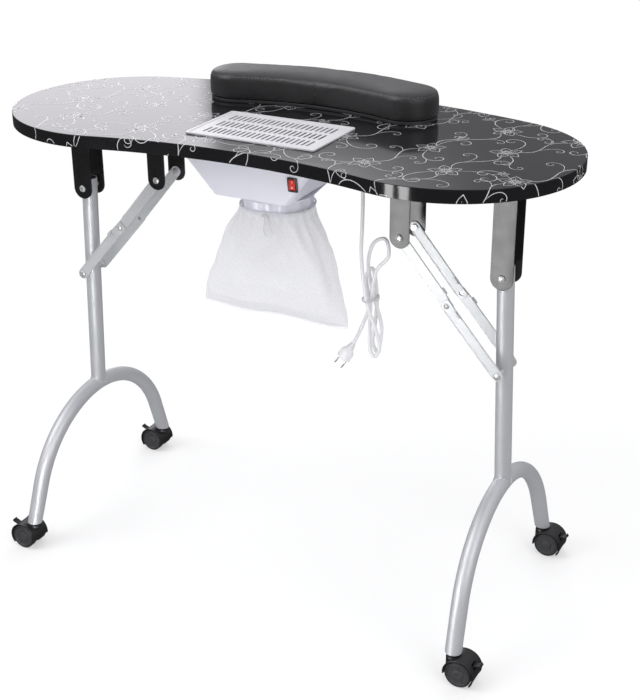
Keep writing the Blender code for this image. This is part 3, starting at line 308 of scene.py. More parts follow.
def floor_paper():
    """Pale paper near the table that brightens to a lit white sweep further out."""
    look = Look("studio_floor", (0.90, 0.90, 0.90), rough=0.9)
    look.tint(look.noise(scale=1.2, detail=2), (0.90, 0.90, 0.90), (0.915, 0.915, 0.915))
    geometry = look.node("ShaderNodeNewGeometry")
    distance = look.node("ShaderNodeVectorMath")
    distance.operation = "LENGTH"
    look.link(geometry.outputs["Position"], distance.inputs[0])
    glow = look.node("ShaderNodeEmission", Color=(1, 1, 1, 1))
    both = look.node("ShaderNodeMixShader")
    share = look.remap(distance.outputs["Value"], low=0.45, high=1.0, start=0.7, end=2.2)
    look.link(share, both.inputs[0])
    look.link(look.shader.outputs[0], both.inputs[1])
    look.link(glow.outputs[0], both.inputs[2])
    look.surface(both.outputs[0])
    return look.material


LAMINATE, PRINT, BAND, COAT = laminate(), print_white(), band_gloss(), black_coat()
SILVER, ZINC, SCREW = silver_coat(), zinc(), screw_steel()
WHITE = white_plastic("white_moulding", (0.68, 0.68, 0.76))
CORD = white_plastic("cord_white", (0.76, 0.76, 0.78))
GRILLE_WHITE = white_plastic("grille_white", (0.58, 0.58, 0.60))
FAN_BLACK = dark_plastic("fan_black", (0.020, 0.020, 0.022))
CASTER_BLACK = dark_plastic("caster_nylon", (0.014, 0.014, 0.015), rough=0.36, grain=0.10)
WHEEL_GREY = dark_plastic("wheel_charcoal", (0.045, 0.045, 0.048), rough=0.44, grain=0.14)
TREAD = dark_plastic("wheel_tread", (0.020, 0.020, 0.021), rough=0.55, grain=0.20)
SWITCH_BLACK = dark_plastic("switch_black", (0.010, 0.010, 0.010), rough=0.28, grain=0.05)
RED = red_plastic()
MARK = white_plastic("switch_marks", (0.85, 0.85, 0.83))
LEATHER = leatherette()
STITCH = thread("stitch_grey", (0.20, 0.20, 0.205))
BAG = bag_cloth()
DRAWCORD = thread("drawcord_white", (0.70, 0.70, 0.71))
RUBBER = dark_plastic("grommet_rubber", (0.03, 0.03, 0.03), rough=0.6, grain=0.2)


# ------------------------------------------------------------------ flat outlines
def polar(x, y, radius, angle):
    return (x + radius * math.cos(angle), y + radius * math.sin(angle))


def around(steps):
    return [2 * math.pi * i / steps for i in range(steps)]


def arc(x, y, radius, start, end, steps):
    return [polar(x, y, radius, start + (end - start) * i / steps) for i in range(steps + 1)]


def circle(x, radius, steps):
    return [polar(x, 0, radius, angle) for angle in around(steps)]


def corner_rect(x0, x1, y0, y1, radius):
    corners = ((x1 - radius, y1 - radius), (x0 + radius, y1 - radius),
               (x0 + radius, y0 + radius), (x1 - radius, y0 + radius))
    quarter = math.pi / 2
    return [point for k, (x, y) in enumerate(corners)
            for point in arc(x, y, radius, k * quarter, (k + 1) * quarter, 6)]


def grille_rect(inset, radius):
    return corner_rect(-GRILLE_X + inset, GRILLE_X - inset,
                       GRILLE_Y0 + inset, GRILLE_Y1 - inset, radius)


def kidney(half, end_radius, end_y, back_y, front_y, inset=0.0, steps=(72, 60, 48)):
    """Two round ends joined by arcs tangent to them; steps are for an end, back and front."""
    end_x = half - end_radius

    def bow(edge_y, reach):
        """Centre y, radius and right-hand angle of the arc that crosses x = 0 at edge_y."""
        centre = (reach * reach - end_x ** 2 - end_y ** 2) / (2 * (reach - end_y))
        return centre, edge_y - centre, math.atan2(end_y - centre, end_x)

    back_c, back_r, back_angle = bow(back_y, back_y - end_radius)
    front_c, front_r, front_angle = bow(front_y, front_y + end_radius)
    right = arc(end_x, end_y, end_radius - inset, front_angle - math.pi, back_angle, steps[0])
    back = arc(0, back_c, back_r - inset, back_angle, math.pi - back_angle, steps[1])
    left = [(-x, y) for x, y in reversed(right)]
    front = arc(0, front_c, front_r + inset, math.pi - front_angle, front_angle, steps[2])
    return right + back[1:-1] + left + front[1:-1]


# ------------------------------------------------------------------ mesh helpers
def link_mesh(name, mesh, look, smooth=35):
    """Edges sharper than smooth degrees stay sharp; 0 is flat shading, 180 all smooth."""
    piece = bpy.data.objects.new(name, mesh)
    scene.collection.objects.link(piece)
    mesh.materials.clear()
    mesh.materials.append(look)
    if smooth:
        for face in mesh.polygons:
            face.use_smooth = True
        if smooth < 180:
            mesh.set_sharp_from_angle(angle=math.radians(smooth))
    return piece


def from_bm(name, bm, look, smooth=35, merge=1e-6, matrix=None):
    if matrix is not None:
        bmesh.ops.transform(bm, matrix=matrix, verts=bm.verts)
    bmesh.ops.remove_doubles(bm, verts=bm.verts, dist=merge)
    bmesh.ops.recalc_face_normals(bm, faces=bm.faces)
    mesh = bpy.data.meshes.new(name)
    bm.to_mesh(mesh)
    bm.free()
    return link_mesh(name, mesh, look, smooth)


def evaluated_mesh(piece):
    bpy.context.view_layer.update()
    graph = bpy.context.evaluated_depsgraph_get()
    return bpy.data.meshes.new_from_object(piece.evaluated_get(graph))


def take_mesh(piece):
    """The evaluated mesh of a piece, which is then removed."""
    mesh = evaluated_mesh(piece)
    bpy.data.objects.remove(piece, do_unlink=True)
    return mesh


def flat(name, loops, thickness, look, bevel=0.0, at=None):
    """A bevelled plate centred on its own z = 0: the first loop its outline, the rest holes."""
    curve = bpy.data.curves.new(name, "CURVE")
    curve.dimensions = "2D"
    curve.fill_mode = "BOTH"
    curve.extrude = thickness / 2 - bevel
    curve.bevel_depth = bevel
    curve.bevel_resolution = 1
    curve.offset = -bevel
    for loop in loops:
        spline = curve.splines.new("POLY")
        spline.points.add(len(loop) - 1)
        for point, (x, y) in zip(spline.points, loop):
            point.co = (x, y, 0, 1)
        spline.use_cyclic_u = True
    drawn = bpy.data.objects.new(name + "_curve", curve)
    scene.collection.objects.link(drawn)
    bm = bmesh.new()
    bm.from_mesh(take_mesh(drawn))
    piece = from_bm(name, bm, look)
    if at is not None:
        piece.matrix_world = at
    return piece


def raised(z):
    return Matrix.Translation((0, 0, z))


def skin(bm, rings, closed_across=False, caps=False):
    """Faces between successive closed rings of points."""
    made = [[bm.verts.new(point) for point in ring] for ring in rings]
    pairs = list(zip(made, made[1:]))
    if closed_across:
        pairs.append((made[-1], made[0]))
    for upper, lower in pairs:
        count = len(upper)
        for i in range(count):
            j = (i + 1) % count
            bm.faces.new([upper[i], lower[i], lower[j], upper[j]])
    if caps:
        bm.faces.new(made[0])
        bm.faces.new(made[-1][::-1])
    return made


def skinned(name, rings, look, smooth=35, closed_across=False, caps=False, **finish):
    bm = bmesh.new()
    skin(bm, rings, closed_across, caps)
    return from_bm(name, bm, look, smooth, **finish)


def turned(name, profile, steps, look, matrix=None, closed=False):
    """Turned about local Z from (radius, height) points."""
    rings = [[(*polar(0, 0, max(radius, 1e-7), angle), height) for angle in around(steps)]
             for radius, height in profile]
    return skinned(name, rings, look, closed_across=closed, merge=3e-6, matrix=matrix)


def block(name, corner, opposite, look, bevel=0.0005, matrix=None):
    low, high = (Vector(tuple(map(pick, corner, opposite))) for pick in (min, max))
    bm = bmesh.new()
    bmesh.ops.create_cube(bm, size=1.0)
    sized = Matrix.Translation((low + high) / 2) @ Matrix.Diagonal((*(high - low), 1))
    bmesh.ops.transform(bm, matrix=sized, verts=bm.verts)
    if bevel:
        bmesh.ops.bevel(bm, geom=list(bm.edges), offset=bevel, segments=3, profile=0.5,
                        affect="EDGES", clamp_overlap=True)
    return from_bm(name, bm, look, 40, matrix=matrix)


def tube(name, points, radius, look, sides=24, bore=None):
    """A round tube along a path, built with parallel frames; bore opens it."""
    points = [Vector(point) for point in points]
    last = len(points) - 1
    tangents = [(points[min(i + 1, last)] - points[max(i - 1, 0)]).normalized()
                for i in range(last + 1)]
    normal = tangents[0].orthogonal().normalized()
    outside, inside = [], []
    for point, tangent in zip(points, tangents):
        normal = (normal - tangent * normal.dot(tangent)).normalized()
        across = tangent.cross(normal)
        spokes = [normal * math.cos(angle) + across * math.sin(angle) for angle in around(sides)]
        outside.append([point + spoke * radius for spoke in spokes])
        if bore:
            inside.append([point + spoke * bore for spoke in spokes])
    return skinned(name, outside + inside[::-1], look, 50,
                   closed_across=bool(bore), caps=not bore)


def catmull(keys, per):
    """A smooth path through the keys, with per points to each span."""
    keys = [Vector(key) for key in keys]
    ends = [keys[0] * 2 - keys[1]] + keys + [keys[-1] * 2 - keys[-2]]
    path = []
    for p0, p1, p2, p3 in zip(ends, ends[1:], ends[2:], ends[3:]):
        for step in range(per):
            t = step / per
            path.append(0.5 * ((2 * p1) + (p2 - p0) * t + (2 * p0 - 5 * p1 + 4 * p2 - p3) * t * t
                               + (3 * p1 - p0 - 3 * p2 + p3) * t ** 3))
    path.append(keys[-1])
    return path


def join(name, *parts):
    """One piece from several meshes, each keeping its own material."""
    bpy.context.view_layer.update()
    bm = bmesh.new()
    looks = []
    for part in parts:
        mesh = part.data.copy()
        mesh.transform(part.matrix_world)
        first_slot, first_face = len(looks), len(bm.faces)
        looks += list(part.data.materials)
        bm.from_mesh(mesh)
        bm.faces.ensure_lookup_table()
        for face in bm.faces[first_face:]:
            face.material_index += first_slot
        bpy.data.meshes.remove(mesh)
        bpy.data.objects.remove(part, do_unlink=True)
    mesh = bpy.data.meshes.new(name)
    bm.to_mesh(mesh)
    bm.free()
    unique = list(dict.fromkeys(looks))
    slots = [unique.index(looks[face.material_index]) for face in mesh.polygons]
    piece = bpy.data.objects.new(name, mesh)
    scene.collection.objects.link(piece)
    for look in unique:
        mesh.materials.append(look)
    mesh.polygons.foreach_set("material_index", slots)
    return piece


def place(piece, body, slot, *replaces, crisp=True):
    """Move a piece into the CAD frame and hang it on its CAD body."""
    bpy.context.view_layer.update()
    piece.data.transform(SHIFT @ piece.matrix_world)
    piece.matrix_world = Matrix.Identity(4)
    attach(piece, body)
    if replaces:
        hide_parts(*replaces)
    if crisp:
        even = piece.modifiers.new("even_normals", "WEIGHTED_NORMAL")
        even.keep_sharp = True
        even.weight = 92


def place_soft(piece, slot, *replaces):
    """Hang a limp piece on the frame and give it a mesh of its own."""
    place(piece, "table_frame", slot, *replaces, crisp=False)
    if slot == "bag_cloth":
        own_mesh(piece)
    else:
        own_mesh(piece)


def bell(value, centre, width):
    return math.exp(-((value - centre) / width) ** 2)


# ------------------------------------------------------------------ the top and its edge band
panel_loops = [kidney(**OUTLINE, inset=BAND_T + 0.00008), grille_rect(CUT_INSET, 0.004)]
panel = flat("printed_top_panel", panel_loops, TOP_T - 0.0001, LAMINATE, bevel=0.00012,
             at=raised(TOP_Z - TOP_T / 2))
place(panel, "table_frame", "laminate_top", "tabletop")

# inset from the outline, depth in from the top or bottom face
BAND_EDGE = [(BAND_T, 0), (0.0006, 0), (0.00025, 0.00012), (0.00006, 0.0004), (0.0, 0.0009)]
section = [(inset, TOP_Z - depth) for inset, depth in BAND_EDGE]
section += [(inset, UNDER_Z + depth) for inset, depth in reversed(BAND_EDGE)]
band = skinned("edge_band_strip",
               [[(x, y, z) for x, y in kidney(**OUTLINE, inset=inset)] for inset, z in section],
               BAND, 50, closed_across=True)
place(band, "table_frame", "edge_band", "edge_band")

# ------------------------------------------------------------------ the floral line print
# stems, tendrils, blossoms and buds, carried down over the edge
INK = 0.00010                # the ink lies this far above the laminate
CUT_X = GRILLE_X - CUT_INSET
CUT_Y0, CUT_Y1 = GRILLE_Y0 + CUT_INSET, GRILLE_Y1 - CUT_INSET
rng = random.Random(4)
outline_points = np.array(kidney(**OUTLINE))
edges = np.roll(outline_points, -1, axis=0) - outline_points
edge_length = np.linalg.norm(edges, axis=1)
edge_along = edges / edge_length[:, None]
edge_out = np.stack([edge_along[:, 1], -edge_along[:, 0]], axis=1)
print_bm = bmesh.new()


def over_edge(x, y):
    """A point of the flat drawing wrapped over the edge, and how far down the edge it lies."""
    point = np.array((x, y))
    along = np.clip(((point - outline_points) * edge_along).sum(axis=1), 0, edge_length)
    near = outline_points + edge_along * along[:, None]
    away = np.linalg.norm(point - near, axis=1)
    k = int(away.argmin())
    out = edge_out[k]
    if (point - near[k]) @ out < 0:
        return Vector((x, y, TOP_Z + INK)), 0.0
    wrapped = near[k] + out * 0.00012
    return Vector((wrapped[0], wrapped[1], TOP_Z + INK - away[k])), away[k]


def stroke(points, width, taper=True):
    """A flat painted line along (x, y) points, left out over the grille's hole."""
    points = [Vector(point) for point in points]
    dense = []
    for start, end in zip(points, points[1:]):
        count = max(1, int((end - start).length / 0.0016))
        dense += [start.lerp(end, i / count) for i in range(count)]
    dense.append(points[-1])
    previous = None
    last = len(dense) - 1
    for i, point in enumerate(dense):
        ahead = dense[min(i + 1, last)] - dense[max(i - 1, 0)]
        if ahead.length < 1e-9:
            continue
        side = Vector((-ahead.y, ahead.x)).normalized()
        half = width / 2
        if taper:
            half *= min(1.0, 0.35 + 3.5 * min(i, last - i) / len(dense))
        left, left_depth = over_edge(*(point + side * half))
        right, right_depth = over_edge(*(point - side * half))
        over_hole = abs(point.x) < CUT_X - 0.0002 and CUT_Y0 + 0.0002 < point.y < CUT_Y1 - 0.0002
        hidden = max(left_depth, right_depth) > TOP_T - 0.0006 or over_hole
        pair = None if hidden else (print_bm.verts.new(left), print_bm.verts.new(right))
        if previous and pair:
            print_bm.faces.new([previous[0], previous[1], pair[1], pair[0]])
        previous = pair


def curl(x, y, angle, size, way, width):
    """A tendril that leaves (x, y) at an angle and rolls up; returns its points."""
    points = []
    steps = 58
    for i in range(steps):
        t = i / steps
        points.append((x, y))
        angle += way * (0.022 + 0.29 * t ** 1.45)
        x, y = polar(x, y, size * 0.058 * (1.0 - 0.55 * t), angle)
    stroke(points, width)
    return points


def petal(x, y, angle, size, spread=0.30, width=0.0010, veins=True):
    """Two bowed edges and a few short veins from the petal's root."""
    cos, sin = math.cos(angle), math.sin(angle)

    def at(along, across):
        return (x + cos * along - sin * across, y + sin * along + cos * across)

    for side in (-1, 1):
        stroke([at(size * (0.14 + 0.86 * i / 14),
                   side * size * spread * math.sin(math.pi * (i / 14) ** 0.82) ** 1.2)
                for i in range(15)], width, taper=False)
    if veins:
        stroke([at(size * 0.12, 0), at(size * 0.66, size * 0.02)], width * 0.7)
        for side in (-1, 1):
            stroke([at(size * 0.14, side * size * 0.03), at(size * 0.46, side * size * 0.13)],
                   width * 0.6)


def blossom(x, y, size, turn):
    for k in range(5):
        angle = turn + 2 * math.pi * k / 5 + rng.uniform(-0.05, 0.05)
        petal(x, y, angle, size * rng.uniform(0.94, 1.06))
    stroke(arc(x, y, size * 0.11, 0, 2 * math.pi, 12), 0.0009, taper=False)


def bud(x, y, size, turn):
    """Three closed petals round a small rolled heart."""
    for k in (-1, 0, 1):
        petal(x, y, turn + k * 0.95, size, spread=0.34, width=0.0008, veins=False)
    heart = [polar(x, y, size * (0.34 - 0.022 * i), turn + i * 0.75) for i in range(13)]
    stroke(heart, 0.0007, taper=False)


def rotated(vector, angle):
    cos, sin = math.cos(angle), math.sin(angle)
    return Vector((vector.x * cos - vector.y * sin, vector.x * sin + vector.y * cos))


def stem(start, end, bow):
    """A long S-shaped stem; small scrolls leave it on both sides."""
    start, end = Vector(start), Vector(end)
    span = end - start
    pull1 = start + rotated(span, bow) * 0.60
    pull2 = end - rotated(span, bow) * 0.60
    points = []
    for i in range(41):
        t = i / 40
        u = 1 - t
        points.append(start * u ** 3 + pull1 * (3 * u * u * t) + pull2 * (3 * u * t * t)
                      + end * t ** 3)
    stroke(points, 0.0012)
    for at, way in ((13, 1), (27, -1)):
        ahead = points[at + 1] - points[at]
        side = way if bow > 0 else -way
        curl(points[at].x, points[at].y, math.atan2(ahead.y, ahead.x) + side * 0.25,
             rng.uniform(0.022, 0.034), side, 0.0009)


flowers = []                 # x, y, row, size, turn
for row in range(5):
    for column in range(-5, 5):
        x = column * 0.116 + (0.058 if row % 2 else 0.0) + rng.uniform(-0.016, 0.016)
        y = -0.196 + row * 0.102 + rng.uniform(-0.014, 0.014)
        flowers.append((x, y, row, rng.uniform(0.0225, 0.0275), rng.uniform(0, 6.28)))
for index, (x, y, row, size, turn) in enumerate(flowers):
    blossom(x, y, size, turn)
    ahead = [flower for flower in flowers if flower[2] == row + 1 and 0.0 < flower[0] - x < 0.11]
    if ahead:
        next_x, next_y, _, next_size, _ = ahead[0]
        heading = math.atan2(next_y - y, next_x - x)
        stem(polar(x, y, size * 0.45, heading), polar(next_x, next_y, -next_size * 0.5, heading),
             (-1, 1)[index % 2] * rng.uniform(0.75, 1.05))
    for k in range(2):
        angle = turn + math.pi / 5 + (2 * math.pi / 5) * (1 + 2 * k)
        way = (-1, 1)[(index + k) % 2]
        points = curl(*polar(x, y, size * 0.40, angle), angle - way * 0.35,
                      rng.uniform(0.036, 0.050), way, 0.0011)
        fork, beyond = points[20], points[23]
        heading = math.atan2(beyond[1] - fork[1], beyond[0] - fork[0])
        if k == 0:
            curl(*fork, heading - way * 0.25, rng.uniform(0.020, 0.027), -way, 0.0009)
        elif index % 2:
            heading -= way * 1.1
            tip = polar(*fork, 0.012, heading)
            stroke([fork, tip], 0.0009)
            bud(*tip, rng.uniform(0.0110, 0.0135), heading)
lines = from_bm("printed_lines", print_bm, PRINT, 0, 1e-7)
place(lines, "table_frame", "laminate_top", crisp=False)

# ------------------------------------------------------------------ extractor grille
COLUMNS, PITCH, ROW_PITCH, SLOT_W, SLOT_L = 22, 0.0080, 0.0355, 0.0036, 0.0270
slot_end, slot_r = SLOT_L / 2 - SLOT_W / 2, SLOT_W / 2
holes = []
for row in (-1, 0, 1):
    for column in range(COLUMNS):
        x = (column - (COLUMNS - 1) / 2) * PITCH
        y = (GRILLE_Y0 + GRILLE_Y1) / 2 + row * ROW_PITCH
        holes.append(arc(x, y + slot_end, slot_r, 0, math.pi, 6)
                     + arc(x, y - slot_end, slot_r, math.pi, 2 * math.pi, 6))
field = flat("grille_field", [grille_rect(0.003, 0.003)] + holes, 0.0012, GRILLE_WHITE,
             bevel=0.0002, at=raised(TOP_Z + 0.0013))
rim = flat("grille_rim", [grille_rect(0, 0.0045), grille_rect(0.0046, 0.0025)], 0.0026,
           GRILLE_WHITE, bevel=0.0006, at=raised(TOP_Z + 0.0015))
skirt_loops = [grille_rect(CUT_INSET + 0.0006, 0.0036), grille_rect(CUT_INSET + 0.0026, 0.002)]
skirt = flat("grille_skirt", skirt_loops, 0.0096, GRILLE_WHITE, at=raised(TOP_Z - 0.0043))
place(join("intake_grille", field, rim, skirt), "table_frame", "white_moulding", "grille")


# ------------------------------------------------------------------ fan housing
def pan_ring(size, grow, radius, z):
    """A rounded rectangle of 128 points; grow moves its sides, front and back outwards."""
    half, front, back = (size[0] + grow[0], size[1] - grow[1], size[2] + grow[2])
    quarter = math.pi / 2
    centres = [(half - radius, back - radius), (radius - half, back - radius),
               (radius - half, front + radius), (half - radius, front + radius)]
    points = []
    for c, (x, y) in enumerate(centres):
        corner = arc(x, y, radius, c * quarter, (c + 1) * quarter, 16)
        start = corner[-1]
        end = polar(*centres[(c + 1) % 4], radius, (c + 1) * quarter)
        points += corner
        points += [(start[0] + (end[0] - start[0]) * i / 16,
                    start[1] + (end[1] - start[1]) * i / 16) for i in range(1, 16)]
    return [(x, y, z) for x, y in points]


def outlet_ring(radius, z, depth=0.0):
    """A circle round the outlet, with 14 ribs that stand out by depth."""
    points = []
    for angle in around(128):
        rib = min(1.0, max(0.0, (math.cos(14 * angle) + 0.1) / 0.45))
        points.append((*polar(OUTLET_X, OUTLET_Y, radius + depth * rib, angle), z))
    return points


lip, wall = 0.006, (-PAN_WALL,) * 3
taper_z = FLANGE_Z - 0.002
# size, outward growth (x, front, back), corner radius, z
rings = [pan_ring(*row) for row in [
    (PAN_TOP, (lip - 0.0006,) * 3, 0.0100, FLANGE_Z),
    (PAN_TOP, (lip,) * 3, 0.0104, FLANGE_Z - 0.0006),
    (PAN_TOP, (lip,) * 3, 0.0104, FLANGE_Z - 0.0018),
    (PAN_TOP, (0.0010,) * 3, 0.0078, FLANGE_Z - 0.0021),
    (PAN_TOP, (-0.0006, -0.0003, -0.0002), 0.0070, FLANGE_Z - 0.0032)]]
for k in range(1, 9):
    t = k / 9
    size = [top + (low - top) * t for top, low in zip(PAN_TOP, PAN_LOW)]
    rings.append(pan_ring(size, (0, 0, 0), 0.0066, taper_z + (PAN_LOW_Z - taper_z) * t))
rings += [pan_ring(PAN_LOW, (0.0006, 0.0003, 0.0003), 0.0064, PAN_LOW_Z + 0.0010),
          pan_ring(PAN_LOW, (-0.0010, -0.0008, -0.0008), 0.0060, PAN_LOW_Z)]
# radius beyond the outlet's, z, rib depth: down the ribbed neck and up inside it
rings += [outlet_ring(OUTLET_R + extra, z, depth) for extra, z, depth in [
    (0.0046, PAN_LOW_Z - 0.0018, 0), (0.0034, PAN_LOW_Z - 0.0034, 0),
    (-0.0004, PAN_LOW_Z - 0.0052, 0.0018), (-0.0004, PAN_LOW_Z - 0.0120, 0.0018),
    (-0.0006, OUTLET_Z + 0.0060, 0.0010), (0, OUTLET_Z + 0.0046, 0),
    (0.0001, OUTLET_Z + 0.0008, 0), (-0.0004, OUTLET_Z, 0), (-PAN_WALL, OUTLET_Z, 0),
    (-PAN_WALL, PAN_LOW_Z - 0.0060, 0), (-PAN_WALL, PAN_LOW_Z + 0.0014, 0)]]
rings += [pan_ring(PAN_LOW, wall, 0.0044, PAN_LOW_Z + PAN_WALL),
          pan_ring(PAN_TOP, wall, 0.0048, FLANGE_Z - 0.0022),
          pan_ring(PAN_TOP, wall, 0.0048, FLANGE_Z)]
parts = [skinned("extractor_housing", rings, WHITE, 38, closed_across=True)]

# small screws that hold the flange to the board, and the cord's grommet
PAN_SCREW = [(0, -0.0021), (0.0016, -0.0020), (0.0028, -0.0012), (0.0031, 0.0), (0.0, 0.0)]
for x in (-0.095, 0.095):
    for y in (PAN_TOP[1] - 0.0030, PAN_TOP[2] + 0.0030):
        parts.append(turned("pan_screw", PAN_SCREW, 24, SCREW,
                            Matrix.Translation((x, y, FLANGE_Z - 0.0018))))
GROMMET = [(0.0030, 0.0030), (0.0052, 0.0026), (0.0056, 0.0012), (0.0050, 0.0), (0.0030, 0.0)]
wall_out = Vector((1, 0, -0.78)).normalized()
grommet_turn = Vector((0, 0, 1)).rotation_difference(wall_out).to_matrix().to_4x4()
grommet_at = Matrix.Translation(CORD_EXIT + Vector((0.0012, 0, 0)))
parts.append(turned("cord_grommet", GROMMET, 28, CORD, grommet_at @ grommet_turn))
place(join("fan_housing_moulding", *parts), "table_frame", "white_moulding", "fan_housing")

# ------------------------------------------------------------------ rocker switch
SWITCH_X, SWITCH_Z = 0.0740, 0.6725
share = (taper_z - SWITCH_Z) / (taper_z - PAN_LOW_Z)
switch_y = PAN_TOP[1] + (PAN_LOW[1] - PAN_TOP[1]) * share
switch_lean = math.atan2(PAN_LOW[1] - PAN_TOP[1], taper_z - PAN_LOW_Z)
switch_at = Matrix.Translation((SWITCH_X, switch_y, SWITCH_Z)) @ Matrix.Rotation(
    switch_lean, 4, "X")


def switch_frame(name, half_x, half_z, radius, thickness, y, bevel=0.0):
    """A frame round the rocker's opening, y behind the housing's face."""
    loops = [corner_rect(-half_x, half_x, -half_z, half_z, radius),
             corner_rect(-0.0050, 0.0050, -0.0082, 0.0082, 0.0008)]
    return flat(name, loops, thickness, SWITCH_BLACK, bevel,
                at=switch_at @ Matrix.Translation((0, y, 0)) @ XZ)


parts = [switch_frame("bezel_face", 0.0078, 0.0109, 0.0016, 0.0024, -0.0013, bevel=0.0006),
         switch_frame("bezel_well", 0.0059, 0.0091, 0.0008, 0.0100, 0.0046),
         block("bezel_back", (-0.0058, 0.0086, -0.0090), (0.0058, 0.0104, 0.0090),
               SWITCH_BLACK, 0.0004, switch_at)]
place(join("switch_frame", *parts), "table_frame", "switch_body", "switch_bezel")

rocker_at = switch_at @ Matrix.Translation((0, 0.0012, 0)) @ Matrix.Rotation(
    -math.radians(7), 4, "X")
# y, z round the rocker's side
ROCKER = [(-0.0036, 0.0074), (-0.0041, 0.0056), (-0.0040, 0.0020), (-0.0037, 0.0),
          (-0.0040, -0.0020), (-0.0041, -0.0056), (-0.0036, -0.0074),
          (0.0030, -0.0074), (0.0030, 0.0074)]
bm = bmesh.new()
skin(bm, [[(x, y, z) for y, z in ROCKER] for x in (-0.0046, -0.0042, 0.0042, 0.0046)], caps=True)
hard_edges = [edge for edge in bm.edges
              if len(edge.link_faces) == 2 and edge.calc_face_angle(0) > 0.7]
bmesh.ops.bevel(bm, geom=hard_edges, offset=0.0004, segments=2, affect="EDGES",
                clamp_overlap=True)
rocker = from_bm("rocker_body", bm, RED, 40, matrix=rocker_at)
mark_on = block("mark_on", (-0.0003, -0.00432, 0.0030), (0.0003, -0.0040, 0.0054), MARK,
                0.00005, rocker_at)
OFF_RING = [(0.0009, 0.00016), (0.0014, 0.00016), (0.0014, -0.0001), (0.0009, -0.0001)]
mark_off = turned("mark_off", OFF_RING, 24, MARK,
                  rocker_at @ Matrix.Translation((0, -0.00415, -0.0042)) @ XZ, closed=True)
place(join("rocker_key", rocker, mark_on, mark_off), "rocker", "switch_key", "switch_rocker")

# ------------------------------------------------------------------ fan
FAN_R = OUTLET_R - PAN_WALL - 0.0003
FAN_TOP, FAN_LOW = 0.6330, 0.6140
SHROUD = [(FAN_R, FAN_TOP), (FAN_R, FAN_LOW), (FAN_R - 0.0018, FAN_LOW), (FAN_R - 0.0018, FAN_TOP)]
CUP = [(0, 0.6215), (0.0168, 0.6215), (0.0170, 0.6210), (0.0170, 0.6150), (0.0162, 0.6145),
       (0.0, 0.6145)]
HUB = [(0, 0.6340), (0.0150, 0.6340), (0.0164, 0.6328), (0.0164, 0.6225), (0, 0.6225)]
parts = [turned("fan_shroud", SHROUD, 96, FAN_BLACK, OUTLET_AT, closed=True),
         turned("fan_cup", CUP, 48, FAN_BLACK, OUTLET_AT)]
for angle in around(4):
    parts.append(block("fan_strut", (0.0150, -0.0024, 0.6150), (FAN_R - 0.0010, 0.0024, 0.6176),
                       FAN_BLACK, 0.0006, OUTLET_AT @ Matrix.Rotation(angle, 4, "Z")))
place(join("fan_ring", *parts), "table_frame", "fan_plastic", "fan_frame")


def blade(angle):
    """A twisted blade, flatter and wider towards its tip."""
    rings = []
    for i in range(7):
        t = i / 6
        pitch = math.radians(38 - 14 * t)
        cos, sin = math.cos(pitch), math.sin(pitch)
        half = 0.0075 + 0.0015 * t
        # chordwise place, height
        section = [(-half, 0.0), (-half * 0.4, 0.0010), (half * 0.4, 0.0009), (half, 0.0),
                   (half * 0.4, -0.0002), (-half * 0.4, -0.0001)]
        rings.append([(0.0150 + 0.0296 * t, chord * cos - height * sin,
                       0.6280 + chord * sin * 0.72 + height * cos) for chord, height in section])
    return skinned("blade", rings, FAN_BLACK, 50, caps=True,
                   matrix=OUTLET_AT @ Matrix.Rotation(angle, 4, "Z"))


parts = [turned("impeller_hub", HUB, 48, FAN_BLACK, OUTLET_AT)] + [blade(a) for a in around(7)]
place(join("fan_wheel_bladed", *parts), "fan_wheel", "fan_plastic", "fan_impeller")


# ------------------------------------------------------------------ fasteners
def facing(sign):
    """Local +Z turned to sign * Y."""
    return Matrix.Rotation(-sign * math.pi / 2, 4, "X")


def cross_head(name, at, radius=0.0054, height=0.0028):
    """A pan-head screw with a cross recess; +Z points out of the head, z = 0 is its seat."""
    profile = [(0, height)]
    for i in range(1, 8):
        angle = math.pi / 2 * i / 7
        profile.append((radius * math.sin(angle) ** 0.9,
                        height * (0.42 + 0.58 * math.cos(angle))))
    profile += [(radius, 0.0004), (radius * 0.97, 0.0), (0, 0.0)]
    head = turned(name + "_head", profile, 40, SCREW)
    corner = Vector((radius * 0.56, 0.00062, height * 1.4))
    cutters = [block(name + "_cut", (-corner.x, -0.00062, height * 0.42), corner, RUBBER, 0.0,
                     Matrix.Rotation(turn, 4, "Z")) for turn in (0.4, 0.4 + math.pi / 2)]
    for cutter in cutters:
        cut = head.modifiers.new("cut", "BOOLEAN")
        cut.operation, cut.solver, cut.object = "DIFFERENCE", "EXACT", cutter
    mesh = take_mesh(head)
    for cutter in cutters:
        bpy.data.objects.remove(cutter, do_unlink=True)
    mesh.transform(at)
    return link_mesh(name, mesh, SCREW, 30)


def hex_nut(name, at, flats=0.0094, height=0.0038):
    """A nut seated at local z = 0, with the bolt's end standing out of it."""
    radius = flats / 2 / math.cos(math.pi / 6)
    levels = [(0.90, 0.0), (1, 0.0005), (1, height - 0.0006), (0.88, height)]
    rings = [[(*polar(0, 0, radius * share, math.pi / 3 * i), z) for i in range(6)]
             for share, z in levels]
    nut = skinned(name + "_nut", rings, SCREW, 25, caps=True, matrix=at)
    end = [(0, height + 0.0012), (SHANK_R * 0.8, height + 0.0012), (SHANK_R, height + 0.0006),
           (SHANK_R, 0), (0, 0)]
    return [nut, turned(name + "_stud", end, 24, SCREW, at)]


